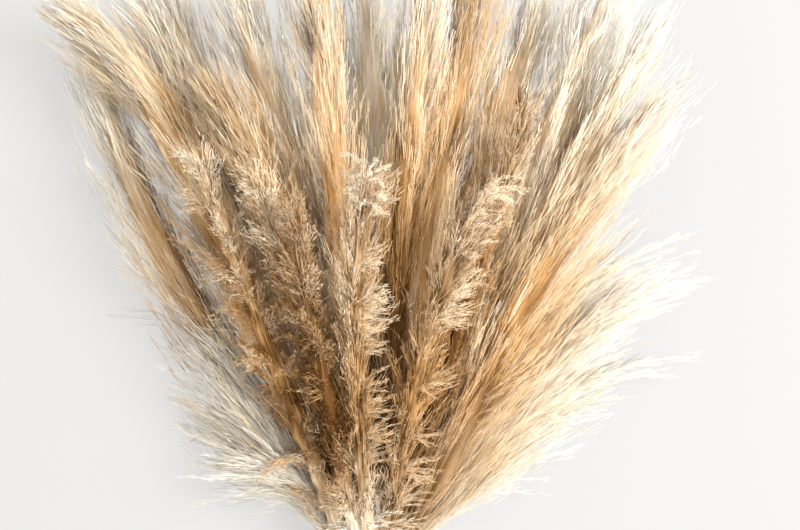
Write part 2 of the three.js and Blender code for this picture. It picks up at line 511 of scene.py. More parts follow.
    def to_object(
        self,
        name: str,
        material: bpy.types.Material,
        middle: PlumeLine | None = None,
        softness: float = 0.0,
    ) -> bpy.types.Object:
        """Makes the strands one Blender object at the origin.

        Args:
            name: The object's name.
            material: Its finish.
            middle: What the strands stand out from.
            softness: How far the strands' normals turn outwards from it, as a share, so that light
                falls on them as on one soft body.

        Returns:
            The object, linked to the scene.
        """
        points = rest_on_floor(keep_inside(np.concatenate(self.points)))
        faces = np.concatenate(self.faces)
        mesh = bpy.data.meshes.new(name)
        mesh.vertices.add(len(points))
        mesh.vertices.foreach_set("co", points.astype(np.float32).ravel())
        mesh.loops.add(faces.size)
        mesh.loops.foreach_set("vertex_index", faces.astype(np.int32).ravel())
        mesh.polygons.add(len(faces))
        mesh.polygons.foreach_set("loop_start", np.arange(0, faces.size, 3, dtype=np.int32))
        mesh.polygons.foreach_set("loop_total", np.full(len(faces), 3, np.int32))
        mesh.polygons.foreach_set("use_smooth", np.ones(len(faces), bool))
        tones = np.clip(np.concatenate(self.tones), *TONE_LIMITS)[faces.ravel()]
        layer = mesh.uv_layers.new(name=TONE_MAP, do_init=False)
        layer.uv.foreach_set("vector", tones.astype(np.float32).ravel())
        mesh.update(calc_edges=True)
        if middle is not None:
            own = np.empty(points.size, np.float32)
            mesh.vertex_normals.foreach_get("vector", own)
            soft = unit(softness * middle.outward(points) + (1.0 - softness) * own.reshape(-1, 3))
            mesh.normals_split_custom_set_from_vertices(soft.astype(np.float32))
        mesh.materials.append(material)
        made = bpy.data.objects.new(name, mesh)
        bpy.context.scene.collection.objects.link(made)
        return made


def rest_on_floor(points: Array) -> Array:
    """Presses what hangs low flat against the floor.

    Above the soft height a point stays. Below it, its height falls off as an exponential that never reaches
    zero.

    Args:
        points: Points, whose heights are changed in place.

    Returns:
        The same points.
    """
    soft = 7 * MM
    pressed = soft * np.exp(np.minimum(points[:, 2] - soft, 0.0) / soft)
    points[:, 2] = np.where(points[:, 2] < soft, np.minimum(pressed, soft), points[:, 2])
    return points


def keep_inside(points: Array) -> Array:
    """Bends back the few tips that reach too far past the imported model's box.

    Each side but the lowest is soft, as the floor is: what comes near the limit moves in, by an exponential
    that never quite reaches it.

    Args:
        points: Points, of shape (points, 3).

    Returns:
        The points in their new places.
    """
    spare_share, spare_length, soft = 0.028, 8 * MM, 25 * MM
    size = np.array(CAD_HIGH) - np.array(CAD_LOW)
    spare = spare_share * size + spare_length
    high = np.array(CAD_HIGH) + spare - soft
    low = np.array(CAD_LOW) - spare + soft
    over = np.maximum(points - high, 0.0)
    under = np.maximum(low - points, 0.0)
    under[:, 2] = 0.0
    points = points - over + soft * (1.0 - np.exp(-over / soft))
    return points + under - soft * (1.0 - np.exp(-under / soft))


# --------------------------------------------------------------------------------------------------
# Finishes
# --------------------------------------------------------------------------------------------------

Colour = tuple[float, float, float]


@dataclass(frozen=True)
class Finish:
    """A dry plant finish whose colour follows each corner's tone and warmth.

    Attributes:
        name: The material's name.
        cool: Colours from dark to light where the warmth is 0.
        warm: Colours from dark to light where the warmth is 1.
        stops: The tones of those colours.
        roughness: The surface's roughness.
        specular: The strength of its highlights.
    """

    name: str
    cool: tuple[Colour, ...]
    warm: tuple[Colour, ...]
    stops: tuple[float, ...] = (0.0, 0.35, 0.7, 1.0)
    roughness: float = 0.62
    specular: float = 0.3

    def ramp(self, nodes: bpy.types.Nodes, colours: tuple[Colour, ...]) -> bpy.types.Node:
        """Makes a colour ramp with one of the finish's rows of colours.

        Args:
            nodes: The material's nodes.
            colours: The row of colours, one for each stop.

        Returns:
            The ramp.
        """
        made = nodes.new("ShaderNodeValToRGB")
        made.color_ramp.interpolation = "LINEAR"
        while len(made.color_ramp.elements) < len(colours):
            made.color_ramp.elements.new(0.5)
        for element, stop, colour in zip(made.color_ramp.elements, self.stops, colours, strict=True):
            element.position = stop
            element.color = (*colour, 1.0)
        return made

    def colour(self, nodes: bpy.types.Nodes, links: bpy.types.NodeLinks) -> bpy.types.NodeSocket:
        """Makes the colour: two ramps over tone, mixed by warmth.

        Args:
            nodes: The material's nodes.
            links: Its links.

        Returns:
            The socket that gives the colour.
        """
        place = nodes.new("ShaderNodeUVMap")
        place.uv_map = TONE_MAP
        parts = nodes.new("ShaderNodeSeparateXYZ")
        links.new(place.outputs["UV"], parts.inputs[0])
        blend = nodes.new("ShaderNodeMix")
        blend.data_type = "RGBA"
        links.new(parts.outputs["Y"], blend.inputs["Factor"])
        for colours, socket in ((self.cool, blend.inputs["A"]), (self.warm, blend.inputs["B"])):
            ramp = self.ramp(nodes, colours)
            links.new(parts.outputs["X"], ramp.inputs["Fac"])
            links.new(ramp.outputs["Color"], socket)
        return blend.outputs["Result"]

    def dress(self, nodes: bpy.types.Nodes, links: bpy.types.NodeLinks) -> None:
        """Adds what sets this finish apart, once the shader has its colour."""

    def material(self) -> bpy.types.Material:
        """Builds the material.

        Returns:
            The finished material.
        """
        made = bpy.data.materials.new(self.name)
        made.use_nodes = True
        nodes, links = made.node_tree.nodes, made.node_tree.links
        shader = nodes["Principled BSDF"]
        links.new(self.colour(nodes, links), shader.inputs["Base Color"])
        shader.inputs["Roughness"].default_value = self.roughness
        shader.inputs["Specular IOR Level"].default_value = self.specular
        self.dress(nodes, links)
        return made


@dataclass(frozen=True)
class PlumeFinish(Finish):
    """The dry, silky hair of a plume, which lets light through.

    It is greyish where it is cool and golden where it is warm.

    Attributes:
        name: The material's name.
        cool: Colours from dark to light where the warmth is 0.
        warm: Colours from dark to light where the warmth is 1.
        glow: The share of light that passes through a hair.
    """

    name: str = "dry_plume_hair"
    cool: tuple[Colour, ...] = (
        (0.17, 0.08, 0.02),
        (0.56, 0.40, 0.24),
        (0.84, 0.73, 0.56),
        (0.95, 0.91, 0.82),
    )
    warm: tuple[Colour, ...] = (
        (0.20, 0.08, 0.01),
        (0.66, 0.39, 0.14),
        (0.88, 0.70, 0.46),
        (0.96, 0.91, 0.81),
    )
    glow: float = 0.68

    def dress(self, nodes: bpy.types.Nodes, links: bpy.types.NodeLinks) -> None:
        """Lets light through the hairs, in their own colour.

        Args:
            nodes: The material's nodes.
            links: Its links.
        """
        shader, output = nodes["Principled BSDF"], nodes["Material Output"]
        through = nodes.new("ShaderNodeBsdfTranslucent")
        links.new(shader.inputs["Base Color"].links[0].from_socket, through.inputs["Color"])
        mix = nodes.new("ShaderNodeMixShader")
        mix.inputs["Fac"].default_value = self.glow
        links.new(shader.outputs["BSDF"], mix.inputs[1])
        links.new(through.outputs["BSDF"], mix.inputs[2])
        links.new(mix.outputs["Shader"], output.inputs["Surface"])


@dataclass(frozen=True)
class FibreFinish(Finish):
    """A fibrous surface: fine fibres run along Y, with painted shade in the hollows between them.

    Attributes:
        across: How many fibres lie side by side, per metre.
        along: How often they break, per metre.
        detail: How many finer fibres lie on each, as octaves of noise.
        depth: How proud they stand.
        relief: How strongly that shows, as a share.
        hollow: The noise's values at the bottom and at the rim of a hollow.
        hollow_shade: How far the hollows take the painted shade's colour, as a share.
        shade_colour: The painted shade's colour, which the hollows' colour is multiplied by.
    """

    across: float = 1400.0
    along: float = 30.0
    detail: float = 3.0
    depth: float = 0.0001
    relief: float = 0.6
    hollow: tuple[float, float] = (0.35, 0.60)
    hollow_shade: float = 0.35
    shade_colour: Colour = (0.30, 0.20, 0.10)

    def dress(self, nodes: bpy.types.Nodes, links: bpy.types.NodeLinks) -> None:
        """Sinks the hollows between the fibres and paints shade into them: a noise that is stretched along Y.

        Args:
            nodes: The material's nodes.
            links: Its links.
        """
        shader = nodes["Principled BSDF"]
        place = nodes.new("ShaderNodeTexCoord")
        stretch = nodes.new("ShaderNodeMapping")
        stretch.inputs["Scale"].default_value = (self.across, self.along, self.across)
        links.new(place.outputs["Object"], stretch.inputs["Vector"])
        noise = nodes.new("ShaderNodeTexNoise")
        noise.inputs["Scale"].default_value = 1.0
        noise.inputs["Detail"].default_value = self.detail
        links.new(stretch.outputs["Vector"], noise.inputs["Vector"])
        bump = nodes.new("ShaderNodeBump")
        bump.inputs["Strength"].default_value = self.relief
        bump.inputs["Distance"].default_value = self.depth
        links.new(noise.outputs["Fac"], bump.inputs["Height"])
        links.new(bump.outputs["Normal"], shader.inputs["Normal"])
        # Painted shade in the hollows: the colour is multiplied towards a dark brown.
        hollow = nodes.new("ShaderNodeMapRange")
        hollow.inputs["From Min"].default_value, hollow.inputs["From Max"].default_value = self.hollow
        hollow.inputs["To Min"].default_value = self.hollow_shade
        hollow.inputs["To Max"].default_value = 0.0
        links.new(noise.outputs["Fac"], hollow.inputs["Value"])
        darken = nodes.new("ShaderNodeMix")
        darken.data_type = "RGBA"
        darken.blend_type = "MULTIPLY"
        darken.inputs["B"].default_value = (*self.shade_colour, 1.0)
        links.new(hollow.outputs["Result"], darken.inputs["Factor"])
        links.new(shader.inputs["Base Color"].links[0].from_socket, darken.inputs["A"])
        links.new(darken.outputs["Result"], shader.inputs["Base Color"])


CULM_SKIN = FibreFinish(
    name="dry_culm_skin",
    cool=((0.05, 0.03, 0.015), (0.18, 0.14, 0.05), (0.33, 0.29, 0.12), (0.50, 0.45, 0.27)),
    warm=((0.07, 0.035, 0.012), (0.27, 0.16, 0.06), (0.44, 0.32, 0.14), (0.62, 0.52, 0.33)),
    roughness=0.42,
    specular=0.45,
)
JUTE = FibreFinish(
    name="twisted_jute",
    cool=((0.07, 0.045, 0.025), (0.26, 0.17, 0.09), (0.44, 0.31, 0.17), (0.62, 0.48, 0.30)),
    warm=((0.09, 0.05, 0.02), (0.34, 0.20, 0.08), (0.54, 0.35, 0.16), (0.72, 0.54, 0.30)),
    roughness=0.9,
    specular=0.15,
    across=2600.0,
    along=900.0,
    depth=0.00015,
    hollow_shade=0.5,
)


# --------------------------------------------------------------------------------------------------
# Plumes
# --------------------------------------------------------------------------------------------------


@dataclass(frozen=True)
class Growth:
    """How a kind of plume grows. Spans are (least, most).

    Attributes:
        branches: How many branches the rachis bears.
        branch_length: The branches' lengths where they are longest.
        radius: How far the tips of the outermost branches stand out from the rachis.
        foot_width: How wide the plume is at its foot, against its middle.
        bunch: How many branches grow side by side as one tuft.
        lobe_pitch: Between the plume's fuller places, along it.
        lobe_depth: How much fuller those places are, as a share, painted lighter, with painted shade between.
        top: The highest branch's place, as a share of the plume's length.
        crowd: How the branches crowd: below 1 they stand closer towards the tip.
        taper: How much narrower the plume is at its tip than at its middle, as a share.
        sweep: How a branch turns as it goes. At 1 it runs out evenly. Above, it hugs the rachis towards
            its tip, and below, its tip flares away.
        wave: How far a branch wanders from its sweep, as a share of its length.
        droop: How far the tips of the lowest branches arch back towards the foot, as a share of their
            length.
        comb: How far the hairs turn from their branch's direction to the rachis' own, as a share.
        body: How thick the body of matted hair is, against the reach of the branches.
        body_rows: How many rings of corners its skin has.
        ridge: How far its ridges stand out.
        ridge_run: How many rings a ridge runs for.
        locks: How many broad, flat locks of matted hair lie close round the rachis.
        mats: How many shorter ones lie along the branches.
        mat_length: Their lengths.
        mat_width: Their widths.
        hairs: How many hairs the branches bear.
        hair_length: The hairs' lengths.
        hair_angle: Between a hair and what bears it, in degrees.
        hair_width: A hair's width at its foot.
        fleck: How much the hairs' tones differ.
        spread: How far the feet of the hairs stray from their branch. The branchlets between are finer
            than a hair and left out.
        sprays: How many slim branches stand out past the rest.
        spray_bunch: How many of them grow side by side.
        spray_length: The sprays' lengths.
        spray_radius: How far the sprays' tips stand out from the rachis.
        spray_sweep: As sweep, for the sprays.
        spray_droop: As droop, for the sprays.
        spray_hairs: How many hairs the sprays bear.
        spray_hair_length: The lengths of the sprays' hairs.
        spray_hair_angle: Between a spray and its hairs, in degrees.
        spray_bend: How far a spray's hairs are bent aside, as a share of their length. At 0 they are
            straight.
        spray_tone: How much lighter the sprays are than their surroundings.
        softness: How far the hairs' normals turn outwards from the rachis, as a share.
    """

    branches: int = 240
    branch_length: tuple[float, float] = (0.10, 0.20)
    radius: float = 0.068
    foot_width: float = 0.8
    bunch: int = 3
    lobe_pitch: float = 0.12
    lobe_depth: float = 0.30
    top: float = 0.92
    crowd: float = 0.80
    taper: float = 0.85
    sweep: tuple[float, float] = (1.2, 2.2)
    wave: float = 0.02
    droop: float = 0.08
    comb: float = 0.5
    body: float = 0.28
    body_rows: int = 30
    ridge: float = 1.0 * MM
    ridge_run: int = 5
    locks: int = 80
    mats: int = 1000
    mat_length: tuple[float, float] = (0.025, 0.055)
    mat_width: tuple[float, float] = (0.0008, 0.0016)
    hairs: int = 4100
    hair_length: tuple[float, float] = (0.016, 0.044)
    hair_angle: tuple[float, float] = (0.5, 14)
    hair_width: float = 0.00062
    fleck: float = 0.03
    spread: float = 0.0022
    sprays: int = 42
    spray_bunch: int = 3
    spray_length: tuple[float, float] = (0.08, 0.18)
    spray_radius: tuple[float, float] = (0.030, 0.075)
    spray_sweep: tuple[float, float] = (0.9, 1.6)
    spray_droop: float = 0.15
    spray_hairs: int = 900
    spray_hair_length: tuple[float, float] = (0.010, 0.024)
    spray_hair_angle: tuple[float, float] = (2, 18)
    spray_bend: float = 0.0
    spray_tone: float = 0.12
    softness: float = 0.78


class Habit(Enum):
    """The kinds of plume in the bundle."""

    SILKY = Growth()
    WISPY = Growth(
        branches=210,
        branch_length=(0.11, 0.20),
        radius=0.044,
        foot_width=0.4,
        top=0.46,
        droop=0.20,
        mats=700,
        hairs=3800,
        hair_length=(0.016, 0.040),
        sprays=36,
        spray_length=(0.12, 0.24),
        spray_radius=(0.030, 0.085),
        spray_sweep=(0.9, 1.5),
        spray_hairs=1300,
        spray_hair_length=(0.010, 0.026),
    )
    WOOLLY = Growth(
        branches=264,
        branch_length=(0.035, 0.070),
        radius=0.041,
        bunch=6,
        lobe_pitch=0.045,
        lobe_depth=0.45,
        sweep=(0.6, 1.2),
        wave=0.08,
        taper=0.6,
        droop=0.20,
        comb=0.0,
        body=0.20,
        body_rows=40,
        ridge=1.2 * MM,
        ridge_run=2,
        locks=60,
        mats=2800,
        mat_length=(0.008, 0.018),
        mat_width=(0.0011, 0.0024),
        hairs=5800,
        hair_length=(0.006, 0.012),
        hair_angle=(8, 60),
        hair_width=0.00072,
        fleck=0.07,
        spread=0.0014,
        sprays=48,
        spray_bunch=4,
        spray_length=(0.03, 0.055),
        spray_radius=(0.026, 0.044),
        spray_sweep=(0.5, 0.9),
        spray_hairs=1500,
        spray_hair_length=(0.005, 0.011),
        spray_hair_angle=(8, 60),
        spray_bend=0.18,
        softness=0.35,
    )
    FINGERED = Growth(
        branches=240,
        branch_length=(0.05, 0.11),
        radius=0.042,
        bunch=5,
        lobe_pitch=0.05,
        lobe_depth=0.40,
        sweep=(0.8, 1.6),
        wave=0.03,
        taper=0.4,
        droop=0.05,
        comb=0.1,
        body=0.20,
        body_rows=40,
        ridge=1.0 * MM,
        ridge_run=3,
        locks=80,
        mats=1100,
        mat_length=(0.012, 0.030),
        mat_width=(0.0011, 0.0024),
        hairs=4400,
        hair_length=(0.008, 0.020),
        hair_angle=(2, 28),
        hair_width=0.00068,
        fleck=0.07,
        spread=0.0014,
        sprays=140,
        spray_bunch=7,
        spray_length=(0.045, 0.070),
        spray_radius=(0.044, 0.060),
        spray_sweep=(0.6, 0.9),
        spray_droop=0.0,
        spray_hairs=3400,
        spray_hair_length=(0.008, 0.014),
        spray_hair_angle=(3, 18),
        spray_tone=0.13,
        softness=0.50,
    )
    YOUNG = Growth(
        branches=60,
        branch_length=(0.04, 0.09),
        radius=0.008,
        droop=0.0,
        body=0.5,
        body_rows=20,
        ridge=0.4 * MM,
        locks=20,
        mats=200,
        mat_length=(0.010, 0.020),
        hairs=2200,
        hair_length=(0.012, 0.030),
        sprays=9,
        spray_length=(0.03, 0.05),
        spray_radius=(0.006, 0.011),
        spray_hairs=200,
        spray_hair_length=(0.008, 0.014),
    )


class Side(Enum):
    """Which way a plume's sprays stand out: the middle and the stray of their turns from the right."""

    ALL = (0.0, 3.2)
    RIGHT = (0.2, 0.5)
    LEFT = (np.pi - 0.2, 0.5)


@dataclass(frozen=True)
class Crest:
    """Branches that lean out or curl over to a side.

    Spans are (least, most). Angles are in degrees, to the right from the rachis' own direction.

    Attributes:
        count: How many.
        feet: The share of the plume's length that they start at.
        length: Their lengths.
        set_out: The angles that they set out at.
        hook: How far they turn from there.
        hairs: How many hairs each bears.
        hair_length: The hairs' lengths.
        tone: How much lighter they are than the plume.
    """

    count: int
    feet: tuple[float, float]
    length: tuple[float, float]
    set_out: tuple[float, float]
    hook: tuple[float, float]
    hairs: int = 0
    hair_length: tuple[float, float] = (0.004, 0.009)
    tone: float = 0.24


STRAY = Crest(3, (0.2, 0.7), (0.06, 0.10), (-60, 60), (-140, 140))
TANGLE = Crest(28, (0.86, 0.98), (0.020, 0.040), (-50, 40), (-140, 160), 60)
LOOP = Crest(2, (0.66, 0.70), (0.055, 0.065), (15, 25), (130, 160), 20, (0.003, 0.006))
BENT_TIP = Crest(6, (0.92, 0.97), (0.050, 0.065), (-10, 10), (70, 95), 90)
LEFT_TUFT = Crest(12, (0.36, 0.50), (0.08, 0.12), (-40, -20), (0, 20), 110, (0.010, 0.022), -0.05)
BENT_TUFT = Crest(12, (0.86, 0.97), (0.020, 0.035), (-50, 40), (40, 90), 60)


@dataclass(frozen=True)
class Look:
    """What sets one plume apart from the others.

    Attributes:
        habit: How it grows.
        tone: From 0, dark, to 1, light, at its foot, at its waist and at its tip.
        warmth: From 0, greyish, to 1, golden.
        left: How far it fans out on its left, against its kind.
        right: How far it fans out on its right, against its kind.
        side: Where its sprays stand out.
        share: How many hairs it bears, against its kind.
        top: The highest branch's place, against its kind.
        painted_side_shade: How much lighter it is on its left than on its right, as painted shade on its
            right side.
        crests: The branches that lean out or curl over.
    """

    habit: Habit
    tone: tuple[float, float, float]
    warmth: float
    left: float = 1.0
    right: float = 1.0
    side: Side = Side.ALL
    share: float = 1.0
    top: float = 1.0
    painted_side_shade: float = 0.0
    crests: tuple[Crest, ...] = (STRAY,)


# The numbers without a name are the tones at foot, waist and tip, the warmth, and how far the plume fans out
# to the left and to the right.
LOOKS: dict[str, Look] = {
    "a1": Look(Habit.WISPY, (1.00, 1.00, 1.00), 0.10, 0.6, 0.6, Side.LEFT, share=0.5, top=0.6),
    "a2": Look(Habit.SILKY, (0.45, 0.80, 0.92), 1.10, share=0.9),
    "a3": Look(Habit.SILKY, (0.55, 0.92, 0.94), 1.10, 1.3, 1.3, share=1.1),
    "a4": Look(Habit.WISPY, (0.74, 0.80, 0.92), 0.30, 0.6, 0.6, Side.RIGHT, share=0.85, top=0.85),
    "b1": Look(Habit.SILKY, (0.78, 0.44, 1.00), 0.42, 1.1, 0.35, Side.LEFT, painted_side_shade=0.15),
    "b2": Look(Habit.SILKY, (0.70, 1.00, 0.88), 1.00, share=0.85),
    "b3": Look(Habit.SILKY, (0.50, 1.00, 1.00), 1.15, 1.1, 1.1),
    "b4": Look(Habit.SILKY, (0.20, 0.22, 1.00), 1.00, 1.25, 1.25),
    "b5": Look(Habit.WISPY, (0.66, 0.64, 0.82), 0.48, 0.8, 1.2, Side.RIGHT),
    "c1": Look(Habit.WISPY, (1.00, 1.00, 1.00), 0.40, 1.0, 0.8, Side.LEFT, top=0.8),
    "c2": Look(Habit.SILKY, (0.40, 0.68, 0.76), 0.75, 1.3, 1.3, share=1.25, crests=(STRAY, LEFT_TUFT)),
    "c3": Look(Habit.SILKY, (0.95, 1.00, 0.92), 1.00, 1.0, 1.2),
    "c4": Look(Habit.SILKY, (0.26, 0.74, 0.46), 0.85, 0.8, 0.9),
    "c5": Look(Habit.SILKY, (0.20, 0.78, 1.00), 1.00, 1.35, 1.2, share=1.25),
    "c6": Look(Habit.WISPY, (0.65, 0.70, 0.86), 0.35, 0.8, 0.85, Side.RIGHT),
    "d1": Look(Habit.WISPY, (0.80, 0.95, 0.95), 0.25, 0.4, 0.4, share=0.6),
    "d2": Look(Habit.SILKY, (0.32, 0.58, 0.52), 0.95, 0.90, 1.0),
    "d3": Look(Habit.SILKY, (-0.35, 0.66, 0.66), 0.75, 1.1, 0.7, painted_side_shade=0.10),
    "d4": Look(Habit.SILKY, (0.00, 0.18, 0.90), 0.72, 0.6, 0.6),
    "d5": Look(Habit.YOUNG, (0.40, 0.50, 0.60), 0.90),
    "d6": Look(Habit.SILKY, (0.36, 0.52, 0.96), 0.65, 1.15, 1.3, share=1.2, top=0.9),
    "e1": Look(Habit.WOOLLY, (1.00, 0.30, 0.74), 0.58, 1.3, 1.1),
    "e2": Look(Habit.WOOLLY, (1.10, 0.04, 0.80), 0.70),
    "e3": Look(Habit.FINGERED, (0.08, 0.15, 0.46), 0.52, 0.7, 0.7, share=0.8),
    "e4": Look(Habit.SILKY, (0.34, 0.40, 0.80), 0.55, 0.7, 1.0, top=0.8),
    "f1": Look(Habit.WOOLLY, (1.45, 0.00, 0.50), 0.52, 0.9, 0.7),
    "f2": Look(
        Habit.FINGERED,
        tone=(1.05, 0.34, 0.56),
        warmth=0.35,
        left=0.9,
        side=Side.RIGHT,
        painted_side_shade=0.08,
        crests=(STRAY, TANGLE, LOOP),
    ),
    "f3": Look(
        Habit.FINGERED,
        tone=(0.45, 0.35, 0.44),
        warmth=0.45,
        left=0.9,
        side=Side.RIGHT,
        crests=(STRAY, BENT_TIP, BENT_TUFT),
    ),
}


@dataclass
class Shoots:
    """Thin stalks that bear hairs: a plume's branches, its sprays or those of a crest.

    Attributes:
        paths: Their middles, of shape (shoots, steps, 3).
        lengths: Their lengths.
        foot: Where each leaves the plume's line, as a share of its length.
        span: How far each runs along the plume's line, as a share of its length.
        tone: How much lighter each is than its surroundings, with painted shade in it for branches.
        warmth: How much warmer each is than its surroundings, with painted shade in it for branches.
        width: The width of each shoot's hairs, against the plume's hair width.
        radius: Their radius at the foot.
    """

    paths: Array
    lengths: Array
    foot: Array
    span: Array
    tone: Array
    warmth: Array
    width: Array
    radius: float

    def pick(self, rng: np.random.Generator, count: int, low: float, high: float) -> tuple[Indices, Array]:
        """Picks places along the shoots: the longer the shoot, the more places.

        Args:
            rng: Random numbers.
            count: How many places.
            low: The lowest place, as a share of a shoot's length.
            high: The highest.

        Returns:
            The shoots' numbers and the places.
        """
        odds = self.lengths / self.lengths.sum()
        return rng.choice(len(self.lengths), count, p=odds), rng.uniform(low, high, count)

    def at(self, owner: Indices, place: Array) -> tuple[Array, Array]:
        """Finds places along the shoots, on the straight stretches between their steps.

        Args:
            owner: The shoots' numbers.
            place: The places, as shares of the shoots' lengths.

        Returns:
            The points there, and the shoots' unit directions.
        """
        at = place * (self.paths.shape[1] - 1)
        low = np.minimum(at.astype(int), self.paths.shape[1] - 2)
        start, end = self.paths[owner, low], self.paths[owner, low + 1]
        return start + (end - start) * (at - low)[:, None], unit(end - start)

    def share(self, owner: Indices, place: Array) -> Array:
        """Gives the shares of the plume's length that places along the shoots lie at."""
        return self.foot[owner] + self.span[owner] * place


def leaning(rng: np.random.Generator, heading: Array, degrees: tuple[float, float]) -> Array:
    """Turns each direction by a random angle, more often a small one, to a random side.

    Args:
        rng: Random numbers.
        heading: Unit directions.
        degrees: The least and the greatest angle.

    Returns:
        Unit directions at those angles to the given ones.
    """
    random = rng.normal(0, 1, heading.shape)
    aside = unit(random - (random * heading).sum(axis=1, keepdims=True) * heading)
    least, most = degrees
    angle = np.radians(least + (most - least) * rng.uniform(0, 1, len(heading)) ** 1.5)[:, None]
    return heading * np.cos(angle) + aside * np.sin(angle)


# How tone and warmth change over a plume. Places are shares of its length. Depths run from 0, on top, to 1.
TONE_PLACES = (0.0, 0.35, 1.0)  # the foot, the waist and the tip
WARMTH_PLACES = (0.0, 0.2, 0.45, 1.0)
WARMTH_CHANGES = (-0.70, -0.25, 0.35, -0.75)
LOBE_SHADE = 0.35  # painted light and shade: how much lighter a full place is, and darker a thin one
LOBE_SHADE_WARMTH = 0.2  # painted shade: how much less warm a full place is, and warmer a thin one
EVEN_DEPTH = 0.3  # where the depth changes nothing
DEPTH_SHADE = 0.16  # painted shade: how much darker it is below
DEPTH_SHADE_WARMTH = 0.9  # painted shade: how much warmer it is below
BODY_SHADE = 0.26  # painted shade: how much darker the body is than the loose hair
BODY_SHADE_WARMTH = 0.20  # painted shade: how much warmer it is
RIDGE_SHADE = 0.09  # painted shade: how much lighter its ridges are, and darker its furrows
WARMTH_FLECK = 0.06  # how much the warmths of hairs and branches differ

# A plume's shape. Each wave of fullness has how many times it winds round and its pace, against the pitch.
LOBE_WAVES = ((1, 0.7), (2, 1.0), (3, 1.4))
LOBE_HEIGHT = 1.8  # what the waves' sum is divided by
WIDENING = 2.5  # how fast a plume widens above its foot
MOST_REACH = 0.97  # of a branch, against its length
FILL_POWER = 0.3  # below 1, so that the branches crowd to the plume's outside
BRANCH_STEPS = 4
BRANCH_RADIUS = 0.20 * MM
BRANCH_STRAY = 6 * MM  # how far the branches of a bunch stray along the rachis
BRANCH_SWING = 0.14  # how far they stray round it, in radians
BUNCH_SWING = 0.25  # how far the bunches themselves stray round it
SPRAY_RADIUS = 0.26 * MM
SPRAY_STRAY = 3 * MM
SPRAY_SWING = 0.10
CREST_STEPS = 8
CREST_RADIUS = 0.30 * MM
BODY_COLUMNS = 24
BACK_AND_DOWN = np.array([0.0, -1.0, -0.25])
SLIM = 0.9  # the width of the hairs on the outermost branches, against the plume's hair width
CREST_HAIR_ANGLE = (8, 45)  # in degrees
LOCK_LENGTH = (0.05, 0.11)
LOCK_WIDTH = (1.2, 2.6)  # in millimetres
LOCK_FADING = 0.10  # the stretch below a plume's tip in which the matted locks grow smaller
MAT_DEPTH = 0.14  # how far the mats sink in from their shoots towards the rachis, as a share


